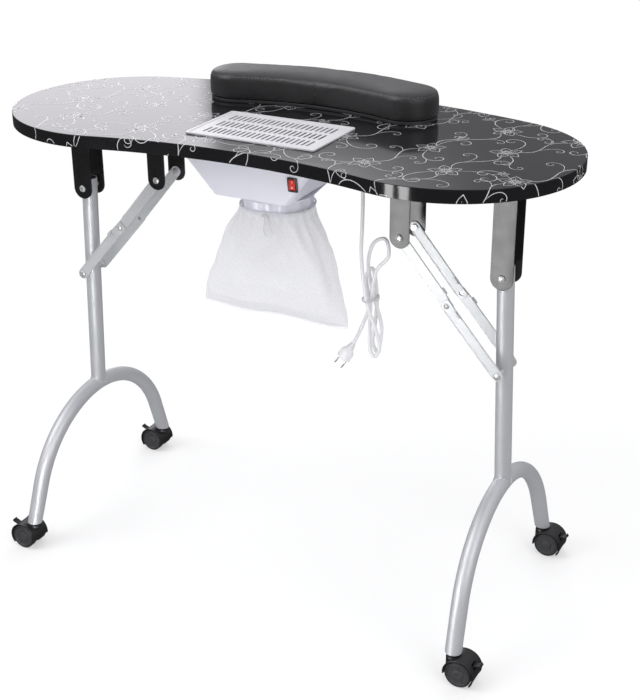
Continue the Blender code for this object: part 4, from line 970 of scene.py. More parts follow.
def through_bolt(name, x, z, seat, gap, body, collar):
    """A bolt along Y: its head in front, its nut behind, collars between tube and plates."""
    parts = [cross_head(name + "_screw", Matrix.Translation((x, -seat, z)) @ facing(-1))]
    parts += hex_nut(name, Matrix.Translation((x, seat, z)) @ facing(1))
    parts.append(tube(name + "_shank", [(x, -seat, z), (x, seat, z)], SHANK_R, SCREW))
    near = TUBE_R + 0.0002
    profile = [(0.0031, gap), (collar, gap), (collar, near), (0.0031, near)]
    for sy in (-1, 1):
        parts.append(turned(name + "_collar", profile, 32, SCREW,
                            Matrix.Translation((x, 0, z)) @ facing(sy)))
    place(join(name + "_assembly", *parts), body, "fasteners", name)


# ------------------------------------------------------------------ legs
def bracket(name, x, z, width, plate_y):
    """Two round-ended plates hung from a web screwed under the top."""
    half = width / 2
    web_z = FLANGE_Z - PLATE_T
    height = FLANGE_Z - z - 0.0010
    shape = [(half, 0), (half, height), (-half, height)]
    shape += arc(0, 0, half, math.pi, 2 * math.pi, 40)
    parts = [flat(name + "_plate", [shape, circle(0, 0.0033, 28)], PLATE_T, COAT, bevel=0.0005,
                  at=Matrix.Translation((x, sy * plate_y, z)) @ XZ) for sy in (-1, 1)]
    parts.append(block(name + "_web", (x - half - 0.0003, -plate_y - 0.0180, web_z),
                       (x + half + 0.0003, plate_y + 0.0180, FLANGE_Z), COAT, 0.0006))
    for sy in (-1, 1):
        # rounded bends where the plate meets the web
        for inner in (-1, 1):
            y = sy * (plate_y + inner * 0.0010)
            bend = [(x - half + 0.0005, y, web_z), (x + half - 0.0005, y, web_z)]
            parts.append(tube(name + "_bend", bend, 0.0011, COAT, 12))
        for dx in (-0.0085, 0.0085):
            at = Matrix.Translation((x + dx, sy * (plate_y + 0.0100), web_z))
            parts.append(cross_head(name + "_board_screw", at @ Matrix.Rotation(math.pi, 4, "X"),
                                    radius=0.0034, height=0.0018))
    place(join(name + "_folded", *parts), "table_frame", "bracket_paint", name)


def link_strip(name, length, out, tab_side):
    """A brace strip along local X with low flanges on both edges, standing out to local
    +Z * out, and a finger tab on one edge."""
    half, face = LINK_W / 2, LINK_T / 2
    end, corner = length + half, 0.0045
    outline = arc(0, 0, half, math.pi / 2, 3 * math.pi / 2, 20)
    outline += arc(end - corner, corner - half, corner, -math.pi / 2, 0, 6)
    outline += arc(end - corner, half - corner, corner, 0, math.pi / 2, 6)
    loops = [outline, circle(0, 0.00316, 24), circle(length, 0.00316, 24)]
    parts = [flat(name, loops, LINK_T, ZINC, bevel=0.00045)]
    for side in (-1, 1):
        parts.append(block(name + "_flange", (0.004, side * (half - 0.0015), 0.0),
                           (length - 0.004, side * half, out * (face + 0.0009)), ZINC))
    tab_inner = (length - 0.0250, tab_side * (half - 0.0020), -out * face * 0.5)
    tab_outer = (length - 0.0140, tab_side * (half + 0.0006), out * 0.0060)
    parts.append(block(name + "_tab", tab_inner, tab_outer, ZINC, 0.0006))
    return join(name, *parts)


PLUG_RING = [(0.0046, 0.0), (0.0112, 0.0), (0.0118, -0.0004), (0.0112, -0.0012),
             (0.0060, -0.0014), (0.0046, -0.0014)]
POST_PLUG = [(0, 0.0002), (0.0088, 0.0002), (0.0106, -0.0006), (0.0112, -0.0012),
             (0.0109, -0.0100), (0, -0.0100)]


def foot_arch(side, leg_world, centre_z, end_z):
    """An arched tube cut level above the casters; returns its front and rear ends."""
    half_path = []
    for i in range(49):
        angle = ARCH_SWEEP * i / 48
        half_path.append((ARCH_R * math.sin(angle), centre_z + ARCH_R * math.cos(angle)))
    y, z = half_path[-1]
    reach = (z - end_z) / math.sin(ARCH_SWEEP)
    tip = (y + math.cos(ARCH_SWEEP) * reach, z - math.sin(ARCH_SWEEP) * reach)
    path = [(-y, z) for y, z in [tip] + half_path[:0:-1]] + half_path + [tip]
    foot = tube(f"{side}_foot_tube", [leg_world @ Vector((0, y, z)) for y, z in path],
                TUBE_R, SILVER, 40)
    # trim the tube ends level with the floor
    for vertex in foot.data.vertices:
        if vertex.co.z < FOOT_END_Z:
            vertex.co.z = FOOT_END_Z
        elif vertex.co.z < FOOT_END_Z + 0.006 and abs(vertex.co.y) > 0.17:
            vertex.co.z = FOOT_END_Z + 0.0002
    ends, parts = [], [foot]
    for sy in (-1, 1):
        end = leg_world @ Vector((0, sy * tip[0], tip[1]))
        end.z = FOOT_END_Z
        ends.append(end)
        parts.append(turned("end_plug", PLUG_RING, 40, CASTER_BLACK,
                            Matrix.Translation((end.x, end.y, FOOT_END_Z + 0.0006)), closed=True))
    place(join(f"{side}_foot_arch", *parts), f"{side}_leg", "leg_paint", f"{side}_foot")
    return ends


def leg_post(side, leg_world, centre_z):
    """An upright tube with a plug in its upper end and a weld bead where it meets the foot."""
    low = centre_z + ARCH_R
    heights = (POST_OVER - 0.0004, POST_OVER - 0.020, low + 0.020, low + 0.002)
    post = tube(f"{side}_post_tube", [leg_world @ Vector((0, 0, z)) for z in heights],
                TUBE_R, SILVER, 40, bore=TUBE_R - TUBE_WALL)
    cap = turned("post_plug", POST_PLUG, 40, CASTER_BLACK, leg_world @ raised(POST_OVER))
    bead = []
    for angle in around(96):
        x, y = polar(0, 0, 0.0126, angle)
        side_rise = math.sqrt(max(0.0, TUBE_R ** 2 - min(TUBE_R, abs(x)) ** 2)) * 0.985
        z = min(centre_z + ARCH_R * math.cos(y / ARCH_R) + side_rise, low + TUBE_R)
        bead.append(leg_world @ Vector((x, y, z + 0.0004 * math.sin(angle * 17))))
    weld = tube(f"{side}_weld", bead + bead[:1], 0.0017, SILVER, 12)
    place(join(f"{side}_post_tube", post, cap, weld), f"{side}_leg", "leg_paint", f"{side}_post")


RIVET = [(0, 0.0021), (0.0012, 0.0020), (0.0026, 0.0016), (0.0038, 0.0009), (0.0043, 0.0002),
         (0.0043, 0.0), (0.0031, 0.0), (0.0030, -0.0021), (0, -0.0021)]


def brace(side, s, tag, sy, lower_bolt, upper_bolt, middle):
    """The two links on one side (sy) of a leg, with their upper bolt and middle rivet."""
    for kind, start, y in (("lower", lower_bolt, BRACE_PLATE_Y),
                           ("upper", upper_bolt, UPPER_LINK_Y)):
        span = middle - start
        local = (Matrix.Translation((start.x, sy * y, start.z)) @ XZ
                 @ Matrix.Rotation(math.atan2(span.z, span.x), 4, "Z"))
        tab_side = 1 if (local.to_3x3() @ Vector((0, 1, 0))).x * s > 0 else -1
        # local +Z looks along -Y: lower flanges face away from the post, upper ones towards it
        out = -sy if kind == "lower" else sy
        strip = link_strip(f"{side}_{tag}_{kind}_strip", span.length, out, tab_side)
        strip.matrix_world = local
        place(strip, f"{side}_{kind}_links", "links", f"{side}_{tag}_{kind}_link")
    name = f"{side}_{tag}_brace"
    link_face = BRACE_PLATE_Y + LINK_T / 2
    x, z, seat = upper_bolt.x, upper_bolt.z, link_face + SEAT_GAP
    inner = UPPER_LINK_Y - LINK_T / 2 - SEAT_GAP
    parts = [cross_head(name + "_screw", Matrix.Translation((x, sy * seat, z)) @ facing(sy))]
    parts += hex_nut(name, Matrix.Translation((x, sy * inner, z)) @ facing(-sy),
                     flats=0.0090, height=0.0034)
    parts.append(tube("shank", [(x, sy * inner, z), (x, sy * seat, z)], SHANK_R, SCREW))
    place(join(name + "_bolt_set", *parts), "table_frame", "fasteners", name + "_bolt")
    rivet_at = Matrix.Translation((middle.x, sy * (link_face + 0.0001), middle.z))
    place(turned(f"{side}_{tag}_rivet_head", RIVET, 36, SCREW, rivet_at @ facing(sy)),
          f"{side}_lower_links", "fasteners", name + "_rivet")


# caster, in its own frame: X the way it trails, Y up, Z along -Y; the hub at its origin
HOOD_IN, HOOD_OUT, HOOD_HALF_W = 0.0214, 0.0232, 0.0184
HOOD_START, HOOD_END = math.radians(-38), math.radians(188)
TAB_GAP_START, TAB_GAP_END = math.radians(22), math.radians(46)   # opening at the brake tab
# radius, z above the floor
NECK = [(0.0052, FOOT_END_Z - 0.0003), (0.0082, FOOT_END_Z - 0.0003),
        (0.0088, FOOT_END_Z - 0.0009), (0.0090, 0.0412), (0.0096, 0.0396), (0.0104, 0.0382),
        (0.0090, 0.0372), (0.0, 0.0372)]
STEM = [(0, 0.0568), (0.0040, 0.0568), (0.0048, 0.0558), (0.0048, 0.0412), (0, 0.0412)]
# radius, distance from the caster's middle plane
WHEEL_IN, WHEEL_OUT = 0.0053, 0.0190
TYRE = [(0.0178, WHEEL_OUT - 0.0002), (0.0192, WHEEL_OUT - 0.0003), (0.0201, WHEEL_OUT - 0.0014),
        (WHEEL_R - 0.0003, WHEEL_OUT - 0.0034), (WHEEL_R - 0.0003, WHEEL_IN + 0.0022),
        (0.0196, WHEEL_IN + 0.0004), (0.0180, WHEEL_IN), (0.0034, WHEEL_IN),
        (0.0034, WHEEL_IN + 0.0010), (0.0170, WHEEL_IN + 0.0010), (0.0174, WHEEL_OUT - 0.0020)]
# radius, depth in from the wheel's outer face
DISC = [(0.0175, 0.0011), (0.0168, 0.0004), (0.0158, 0.0006), (0.0150, 0.0020),
        (0.0100, 0.0026), (0.0084, 0.0024), (0.0078, 0.0010), (0.0062, 0.0004),
        (0.0038, 0.0005), (0.0034, 0.0012), (0.0, 0.0014)]


def hood_shell(name, start, end, low, high, steps):
    """A curved plate between two angles, from low to high across local Z."""
    section = [(HOOD_IN, low + 0.0004), (HOOD_IN, high - 0.0004), (HOOD_IN + 0.0004, high),
               (HOOD_OUT - 0.0005, high), (HOOD_OUT, high - 0.0006), (HOOD_OUT, low + 0.0006),
               (HOOD_OUT - 0.0005, low), (HOOD_IN + 0.0004, low)]
    rings = [[(*polar(0, 0, radius, start + (end - start) * i / steps), across)
              for radius, across in section] for i in range(steps + 1)]
    return skinned(name + "_shell", rings, CASTER_BLACK, 40, caps=True)


def move_mirrored(piece, matrix, s):
    """Apply a matrix that mirrors the piece when s is negative."""
    piece.data.transform(matrix)
    if s < 0:
        piece.data.flip_normals()


def caster_hood(name, top, local, s):
    half = HOOD_HALF_W
    parts = [hood_shell(name, TAB_GAP_END, HOOD_END, -half, half, 40),
             hood_shell(name, HOOD_START, TAB_GAP_START, -half, half, 20)]
    for low, high in ((-half, -0.0072), (0.0072, half)):
        parts.append(hood_shell(name, TAB_GAP_START - 0.02, TAB_GAP_END + 0.02, low, high, 10))
    # the web between the wheels
    web_r = HOOD_IN + 0.0006
    web = arc(0, 0, web_r, TAB_GAP_END, HOOD_END, 30)
    web += [(-0.0150, -0.0090), (-0.0060, -0.0135), (0.0060, -0.0150), (0.0140, -0.0140)]
    web += arc(0, 0, web_r, HOOD_START, TAB_GAP_START - 0.08, 12)
    web += [(0.0150, 0.0060), (0.0130, 0.0120)]
    parts.append(flat(name + "_web", [web], 0.0092, CASTER_BLACK, bevel=0.0006))
    for across in (-half + 0.0004, half - 0.0004):
        rim = [(x, y, across) for x, y in arc(0, 0, HOOD_OUT - 0.0002, HOOD_START, HOOD_END, 60)]
        parts.append(tube(name + "_rim", rim, 0.00085, CASTER_BLACK, 10))
    parts.append(tube(name + "_axle", [(0, 0, -0.0172), (0, 0, 0.0172)], 0.0028, SCREW, 20))
    hood = join(name + "_hood_body", *parts)
    move_mirrored(hood, local, s)
    above = Matrix.Translation((top.x, top.y, 0))
    neck = turned(name + "_neck", NECK, 40, CASTER_BLACK, above)
    lug = block(name + "_lug", (-0.0098, -0.0045, 0.0180), (0.0060, 0.0045, 0.0395),
                CASTER_BLACK, 0.0012, above)
    stem_pin = turned(name + "_stem", STEM, 28, SCREW, above)
    place(join(name + "_hood", hood, neck, lug, stem_pin), f"{name}_caster", "caster_plastic",
          f"{name}_caster_hood")


def caster_wheels(name, hub):
    parts = []
    for sy in (-1, 1):
        at = Matrix.Translation(hub) @ facing(sy)
        parts.append(turned(name + "_tread", TYRE, 72, TREAD, at, closed=True))
        parts.append(turned(name + "_disc", [(r, WHEEL_OUT - depth) for r, depth in DISC], 72,
                            WHEEL_GREY, at))
        for angle in around(5):
            parts.append(block(name + "_spoke", (0.0080, -0.0007, WHEEL_OUT - 0.0030),
                               (0.0154, 0.0007, WHEEL_OUT - 0.0014), WHEEL_GREY, 0.0004,
                               at @ Matrix.Rotation(angle + 0.3, 4, "Z")))
    place(join(name + "_twin_wheels", *parts), f"{name}_wheels", "caster_tread",
          f"{name}_outer_wheel", f"{name}_inner_wheel")


def brake_tab(name, hub, s):
    """A ridged tab on a cross pin in the hood's opening."""
    x, z = polar(0, hub.z, 0.0222, math.radians(33))
    lift = (Matrix.Translation((hub.x + s * x, hub.y, z))
            @ Matrix.Rotation(-s * math.radians(22), 4, "Y"))
    outline = [(-0.0010, -0.0050), (0.0105, -0.0050)]
    outline += arc(0.0105, -0.0020, 0.0030, -math.pi / 2, 0, 6)
    outline += arc(0.0105, 0.0020, 0.0030, 0, math.pi / 2, 6) + [(-0.0010, 0.0050)]
    parts = [flat(name + "_tab_plate", [outline], 0.0018, CASTER_BLACK, bevel=0.0005)]
    for k, height in enumerate((0.0014, 0.0014, 0.0031)):
        x = 0.0062 + 0.0026 * k
        parts.append(block(name + "_tab_ridge", (x, -0.0040, 0.0007),
                           (x + 0.0010, 0.0040, height), CASTER_BLACK, 0.0003))
    pin = [(0, -0.0066, 0), (0, 0.0066, 0)]
    parts.append(tube(name + "_tab_pin", pin, 0.0013, CASTER_BLACK, 16))
    tab = join(name + "_lever", *parts)
    move_mirrored(tab, lift @ Matrix.Diagonal((s, 1, 1, 1)), s)
    place(tab, f"{name}_brake", "caster_plastic", f"{name}_brake_tab")


def caster(name, top, s):
    """A twin-wheel caster that trails outwards from its stem."""
    hub = Vector((top.x + s * TRAIL, top.y, HUB_Z))
    caster_hood(name, top, Matrix.Translation(hub) @ XZ @ Matrix.Diagonal((s, 1, 1, 1)), s)
    caster_wheels(name, hub)
    brake_tab(name, hub, s)


def build_leg(side, s, pivot_z):
    """One leg with its brackets, braces and casters; s is the sign of its x."""
    pivot = Vector((s * PIVOT_X, 0, pivot_z))
    leg_world = Matrix.Translation(pivot) @ Matrix.Rotation(-s * SPLAY, 4, "Y")
    upper_bolt = Vector((s * BRACE_X, 0, pivot_z + BRACE_RISE))
    bracket(f"{side}_leg_bracket", pivot.x, pivot.z, 0.0340, LEG_PLATE_Y)
    bracket(f"{side}_brace_bracket", upper_bolt.x, upper_bolt.z, 0.0310, BRACE_PLATE_Y)
    through_bolt(f"{side}_leg_bolt", pivot.x, pivot.z, LEG_PLATE_Y + PLATE_T / 2 + SEAT_GAP,
                 LEG_PLATE_Y - PLATE_T / 2 - SEAT_GAP, "table_frame", collar=0.0060)

    # heights along the leaning post, measured from the pivot
    centre_z = -(pivot_z - ARCH_TOP_Z) / math.cos(SPLAY) - ARCH_R
    end_z = -(pivot_z - FOOT_END_Z) / math.cos(SPLAY)
    ends = foot_arch(side, leg_world, centre_z, end_z)
    leg_post(side, leg_world, centre_z)

    lower_bolt = leg_world @ Vector((0, 0, -BRACE_DROP))
    line = upper_bolt - lower_bolt
    inward = Vector((-line.z, 0, line.x)).normalized()
    if inward.x * s > 0:
        inward = -inward
    middle = lower_bolt + line * LINK_SHARE + inward * OVER_CENTRE
    through_bolt(f"{side}_brace_post_bolt", lower_bolt.x, lower_bolt.z,
                 BRACE_PLATE_Y + LINK_T / 2 + SEAT_GAP, BRACE_PLATE_Y - LINK_T / 2 - SEAT_GAP,
                 f"{side}_leg", collar=0.0055)
    for tag, sy in (("front", -1), ("rear", 1)):
        brace(side, s, tag, sy, lower_bolt, upper_bolt, middle)
    for tag, end in zip(("front", "rear"), ends):
        caster(f"{side}_{tag}", end, s)


build_leg("left", -1, PIVOT_Z_LEFT)
build_leg("right", 1, PIVOT_Z_LEFT - PIVOT_STEP)


# ------------------------------------------------------------------ wrist cushion
def cushion_rings(levels):
    """Outlines of the cushion from (inset, z) levels."""
    return [[(x, y, z) for x, y in kidney(**CUSHION, inset=inset, steps=(26, 44, 40))]
            for inset, z in levels]


# inset, height above the pad's underside: upright sides and a crowned top
PAD_LEVELS = [(0.0030, 0.0), (0.0016, 0.0030), (0.0014, 0.0120), (0.0016, 0.0240),
              (0.0022, 0.0310), (0.0036, 0.0350), (0.0080, 0.0382), (0.0160, 0.0400),
              (0.0270, 0.0408)]


def puff(pad, rest):
    """A short cloth run under pressure, held at the base and along the seam."""
    held = pad.vertex_groups.new(name="held")
    for vertex in pad.data.vertices:
        base = max(0.0, min(1.0, 1.0 - (vertex.co.z - PAD_LOW) / 0.006))
        seam = max(0.0, 1.0 - abs(vertex.co.z - SEAM_Z) / 0.0035)
        held.add([vertex.index], max(base, 0.55 * seam), "REPLACE")
    cloth = pad.modifiers.new("puff", "CLOTH")
    settings = cloth.settings
    settings.quality = 5
    settings.mass = 0.25
    settings.tension_stiffness = settings.compression_stiffness = 22
    settings.shear_stiffness = 12
    settings.bending_stiffness = 2.0
    settings.use_pressure = True
    settings.uniform_pressure_force = 3.6
    settings.effector_weights.gravity = 0.0
    settings.vertex_group_mass = "held"
    cloth.point_cache.frame_start, cloth.point_cache.frame_end = 1, 20
    for frame in range(1, 21):
        scene.frame_set(frame)
    step = np.array([vertex.co for vertex in evaluated_mesh(pad).vertices]) - rest
    pad.modifiers.clear()
    scene.frame_set(1)
    # no point moves more than 5 mm
    length = np.linalg.norm(step, axis=1, keepdims=True)
    return rest + step * np.minimum(1.0, 0.0050 / np.maximum(length, 1e-9))


def pull_seams(pad):
    """Draw the cover in along the stitched line with small puckers and down one upright front
    seam, then roughen its height a little."""
    edge = np.array(kidney(**CUSHION, steps=(60, 90, 80)))
    for vertex in pad.data.vertices:
        co = vertex.co
        away = np.linalg.norm(edge - np.array((co.x, co.y)), axis=1)
        k = int(away.argmin())
        if away[k] < 0.012:
            ripple = math.sin(k / len(edge) * 2 * math.pi * 190)
            pucker = 0.55 + 0.45 * ripple * (
                0.5 + 0.5 * noise.noise(Vector((co.x * 40, co.y * 40, 2))))
            centre = Vector((0, 0.150 + 0.10 * abs(co.x), 0))
            pull = (centre - Vector((co.x * 0.55, co.y, 0))).normalized()
            co += pull * bell(co.z, SEAM_Z, 0.0016) * 0.0013 * pucker
            if co.y < 0.125 and abs(co.x) < 0.004:
                co.y += 0.0012 * bell(co.x, 0, 0.0011) * (1.0 if co.z < PAD_LOW + 0.0350 else 0.25)
        wave = noise.noise(Vector((co.x * 13, co.y * 13, co.z * 22))) * 0.0008
        co.z += wave * max(0.0, min(1.0, (co.z - PAD_LOW) / 0.03))


def make_cushion():
    """A foam block in leatherette."""
    rings = cushion_rings([(inset, PAD_LOW + height) for inset, height in PAD_LEVELS])
    pad = skinned("wrist_pad", rings, LEATHER, 180, caps=True)
    remesh = pad.modifiers.new("even", "REMESH")
    remesh.mode, remesh.voxel_size = "VOXEL", 0.0048
    pad = link_mesh("wrist_pad", take_mesh(pad), LEATHER, 180)
    shape = np.array([vertex.co for vertex in pad.data.vertices])
    shape = puff(pad, shape)
    # keep it on its board and inside its own height
    shape[:, 2] = np.clip(shape[:, 2], PAD_LOW, PAD_TOP + 0.001)
    for vertex, co in zip(pad.data.vertices, shape):
        vertex.co = co
    pad.vertex_groups.clear()
    rounding = pad.modifiers.new("smooth", "SUBSURF")
    rounding.levels = rounding.render_levels = 1
    pad = link_mesh("wrist_pad", take_mesh(pad), LEATHER, 180)
    pull_seams(pad)
    return pad


def on_pad(x, y, z):
    """Nearest point of the pad's cover, and its normal."""
    return pad.closest_point_on_mesh(Vector((x, y, z)))[1:3]


pad = make_cushion()
bpy.context.view_layer.update()

# stitches all round, just under the upper edge
stitch_bm = bmesh.new()
line = kidney(**CUSHION, steps=(110, 220, 210))
walked = 0.0
for (x0, y0), (x1, y1) in zip(line, line[1:] + line[:1]):
    walked += math.hypot(x1 - x0, y1 - y0)
    if walked < 0.0044:
        continue
    walked = 0.0
    along = Vector((x1 - x0, y1 - y0, 0)).normalized()
    point, normal = on_pad(x0, y0, PAD_LOW + 0.0372)
    side = normal.cross(along).normalized()
    turn = Matrix((along, side, normal)).transposed().to_4x4()
    stitch = bmesh.ops.create_uvsphere(stitch_bm, u_segments=8, v_segments=6, radius=1.0)
    bmesh.ops.transform(stitch_bm, verts=stitch["verts"],
                        matrix=Matrix.Translation(point + normal * 0.00012) @ turn
                        @ Matrix.Diagonal((0.00145, 0.00034, 0.00030, 1)))
stitches = from_bm("cushion_stitching", stitch_bm, STITCH, 60)

# piping over the upright front seam
seam_line = []
for k in range(22):
    point, normal = on_pad(0.0, 0.098, PAD_LOW + 0.002 + 0.0325 * k / 21)
    seam_line.append(point - normal * 0.0004)
upright = tube("cushion_front_seam", seam_line, 0.0006, LEATHER, 8)
place(pad, "table_frame", "leatherette", "wrist_cushion", crisp=False)
place(stitches, "table_frame", "leatherette", crisp=False)
place(upright, "table_frame", "leatherette")

# inset, height above the top
BOARD_LEVELS = [(0.0080, 0.0003), (0.0040, 0.0003), (0.0031, 0.0009), (0.0030, 0.0046),
                (0.0036, 0.0053), (0.0080, 0.0053)]
board = skinned("cushion_base_board",
                cushion_rings([(inset, TOP_Z + height) for inset, height in BOARD_LEVELS]),
                FAN_BLACK, 50, caps=True)
place(board, "table_frame", "leatherette", "cushion_board")

# ------------------------------------------------------------------ dust bag
# share of the way down, z, half width x and y, centre x and y, squareness (1 is an ellipse)
BAG_LEVELS = [
    (0.0, 0.6250, 0.0532, 0.0532, 0.0115, -0.0330, 1.0),
    (0.07, 0.6120, 0.0534, 0.0534, 0.0115, -0.0330, 1.0),
    (0.115, 0.6035, 0.0560, 0.0535, 0.0110, -0.0330, 0.99),
    (0.26, 0.5750, 0.0750, 0.0490, 0.0090, -0.0325, 0.93),
    (0.48, 0.5350, 0.0945, 0.0440, 0.0060, -0.0320, 0.87),
    (0.69, 0.4950, 0.1100, 0.0370, 0.0040, -0.0315, 0.80),
    (0.87, 0.4620, 0.1200, 0.0255, 0.0020, -0.0310, 0.76),
    (0.96, 0.4450, 0.1243, 0.0110, 0.0015, -0.0305, 0.76),
    (1.0, 0.4395, 0.1250, 0.0022, 0.0015, -0.0305, 0.80)]


def bag_point(angle, t):
    """t runs from the collar (0) to the bottom edge (1)."""
    upper, lower = next(pair for pair in zip(BAG_LEVELS, BAG_LEVELS[1:]) if t <= pair[1][0])
    share = (t - upper[0]) / (lower[0] - upper[0])
    z, half_x, half_y, centre_x, centre_y, power = [
        start + (end - start) * share for start, end in zip(upper[1:], lower[1:])]
    cos, sin = math.cos(angle), math.sin(angle)
    x = math.copysign(abs(cos) ** power, cos) * half_x
    y = math.copysign(abs(sin) ** power, sin) * half_y
    # many fine pleats at the drawstring that merge into a few long folds below
    pleats = math.sin(angle * 29 + 1.3 * math.sin(angle * 5)) * 0.0016 * bell(t, 0.085, 0.050)
    pleats += (math.sin(angle * 13 + 0.8 + 2.2 * math.sin(angle * 3 + 1)) * 0.0032
               * bell(t, 0.20, 0.14))
    pleats += math.sin(angle * 7 + 0.5 + 1.1 * math.sin(angle * 2)) * 0.0042 * bell(t, 0.45, 0.28)
    crumple = (noise.noise(Vector((x * 26, y * 26 + 3, z * 15))) * 0.0050
               + noise.noise(Vector((x * 62, y * 62, z * 40 + 7))) * 0.0019)
    crumple *= min(1.0, max(0.0, (t - 0.1) / 0.25)) * (1.0 - 0.75 * t ** 4)
    # a hollow left of the middle, deeper in front
    dent = -0.010 * bell(x, -0.02, 0.045) * bell(t, 0.55, 0.22) * (1 if sin < 0 else 0.4)
    push = pleats + crumple + dent * abs(sin)
    normal = Vector((cos / half_x, sin / max(half_y, 0.01), 0)).normalized()
    # the lower edge waves, and its left end hangs lower than its right
    z += 0.0022 * math.sin(x * 46 + 0.7) * t ** 3
    tilt = 0.4 if x + normal.x * push * (0.35 if t > 0.85 else 1.0) > 0 else -0.4
    x += normal.x * push * (0.35 if t > 0.85 else 1.0)
    z += 0.0022 * (math.sin(x * 46 + 0.7) - math.sin(
        (x - normal.x * push * (0.35 if t > 0.85 else 1.0)) * 46 + 0.7)) * t ** 3
    z += 0.0035 * (abs(x) / 0.125) ** 2 * t ** 4 * tilt
    y += normal.y * push * min(1.0, half_y / 0.02)
    return (centre_x + x, centre_y + y, z)


bm = bmesh.new()
rings = skin(bm, [[bag_point(angle, 0.028 + 0.972 * (k / 110)) for angle in around(220)]
                  for k in range(111)])
bm.faces.new(rings[-1][::-1])
place_soft(from_bm("dust_bag_cloth", bm, BAG, 180, 1e-7), "bag_cloth", "dust_bag")

# the pressed hem below the bag's bottom edge
bm = bmesh.new()
previous = None
for i in range(91):
    x, _, z = bag_point(math.pi + math.pi * i / 90, 1.0)
    y = -0.0305 + 0.0002 * math.sin(i)
    pair = (bm.verts.new((x, y, z + 0.0004)),
            bm.verts.new((x * 1.002, y + 0.0006 * math.sin(i * 0.5), z - 0.0048)))
    if previous:
        bm.faces.new([previous[0], previous[1], pair[1], pair[0]])
    previous = pair
place_soft(from_bm("dust_bag_hem", bm, BAG, 180, 1e-7), "bag_cloth")

# the drawstring round the collar, its knot and two tails
loop = [Vector((*polar(OUTLET_X, OUTLET_Y, 0.0556 + 0.0004 * math.sin(angle * 29), angle),
                0.6178 + 0.0007 * math.sin(angle * 3))) for angle in around(120)]
knot = []
for i in range(31):
    t = i / 30
    knot.append((0.020 + 0.004 * math.cos(t * 5.5), -0.0890 - 0.0010 * math.sin(t * 7),
                 0.6165 - 0.0030 * math.sin(t * 5.5)))
TAILS = [[(0.020, -0.0892, 0.6165), (0.022, -0.0915, 0.6080), (0.019, -0.0905, 0.5950),
          (0.023, -0.0885, 0.5840)],
         [(0.021, -0.0892, 0.6165), (0.028, -0.0915, 0.6100), (0.030, -0.0895, 0.5990),
          (0.033, -0.0875, 0.5900)]]
parts = [tube("bag_drawcord", loop + loop[:1], 0.0012, DRAWCORD, 12),
         tube("knot", knot, 0.0013, DRAWCORD, 10)]
parts += [tube("tail", catmull(tail, 10), 0.0010, DRAWCORD, 10) for tail in TAILS]
place_soft(join("bag_drawcord_tied", *parts), "bag_cloth", "bag_drawstring")

# ------------------------------------------------------------------ mains cord
# from the housing down into a tied hank that ends at the plug
CORD_KEYS = [
    (0.0980, CORD_EXIT.y, CORD_EXIT.z), CORD_EXIT, (0.1180, -0.0060, 0.6880),
    (0.1340, -0.0100, 0.6750), (0.1400, -0.0130, 0.6450), (0.1420, -0.0180, 0.6000),
    (0.1440, -0.0240, 0.5500), (TIE_X - 0.003, -0.0260, TIE_Z), (0.1690, -0.0240, 0.4400),
    (0.1740, -0.0220, 0.4120), (0.1650, -0.0200, HANK_LOW), (0.1560, -0.0180, 0.4120),
    (TIE_X, -0.0170, TIE_Z), (0.1640, -0.0150, 0.5300), (0.1820, -0.0130, 0.5560),
    (0.1760, -0.0110, HANK_TOP), (0.1560, -0.0090, 0.5700), (0.1480, -0.0090, 0.5350),
    (TIE_X + 0.001, -0.0080, TIE_Z), (0.1700, -0.0070, 0.4400), (0.1640, -0.0060, 0.3980),
    (0.1540, -0.0040, 0.4120), (0.1560, -0.0000, 0.4400), (TIE_X + 0.001, 0.0010, TIE_Z),
    (0.1500, 0.0030, 0.5250), (0.1400, 0.0010, 0.5100), (TIE_X - 0.0085, -0.0060, TIE_Z - 0.0150),
    (0.1360, -0.0080, 0.4300), (0.1250, -0.0100, 0.4050)]
place_soft(tube("mains_cord", catmull(CORD_KEYS, 14), CORD_R, CORD, 16), "cord", "power_cord")

# the plug: ribbed strain relief, body and two prongs along local -Z
plug_start = Vector(CORD_KEYS[-1])
plug_out = (Vector((0.1060, -0.0125, 0.3740)) - plug_start).normalized()
plug_turn = Vector((0, 0, -1)).rotation_difference(plug_out).to_matrix().to_4x4()
profile = [(0, 0.0)]
for k in range(5):
    radius, depth = 0.0040 + 0.0005 * k, 0.0021 * k
    profile += [(radius, -depth), (radius, -depth - 0.0012),
                (radius - 0.0007, -depth - 0.0014), (radius - 0.0007, -depth - 0.0019)]
profile += [(0.0062, -0.0110), (0.0085, -0.0135), (0.0104, -0.0170), (0.0110, -0.0205),
            (0.0106, -0.0235), (0.0112, -0.0262), (0.0114, -0.0288), (0.0108, -0.0298),
            (0, -0.0300)]
parts = [turned("plug_body", profile, 40, CORD, Matrix.Diagonal((1.0, 0.80, 1, 1)))]
parts += [block("prong", (x - 0.0008, -0.0032, -0.0460), (x + 0.0008, 0.0032, -0.0280), SCREW,
                0.0004) for x in (-0.0064, 0.0064)]
plug = join("mains_plug", *parts)
plug.data.transform(Matrix.Translation(plug_start + plug_out * 0.0004) @ plug_turn)
place_soft(plug, "cord", "power_plug")

# the tie wound round the hank, with one loose end
wrap = []
for i in range(161):
    t = i / 160
    angle = 2 * math.pi * 2.2 * t
    wrap.append(Vector((TIE_X - 0.0030 + 0.0100 * math.cos(angle) + 0.0010 * math.sin(3 * angle),
                        -0.0125 + 0.0168 * math.sin(angle), TIE_Z - 0.0022 + 0.0046 * t)))
wrap += [wrap[-1] + Vector(step) for step in
         ((-0.006, -0.006, 0.002), (-0.012, -0.007, -0.004), (-0.014, -0.008, -0.010))]
place_soft(tube("cord_twist_tie", wrap, 0.00095, DRAWCORD, 10), "cord", "cord_tie")

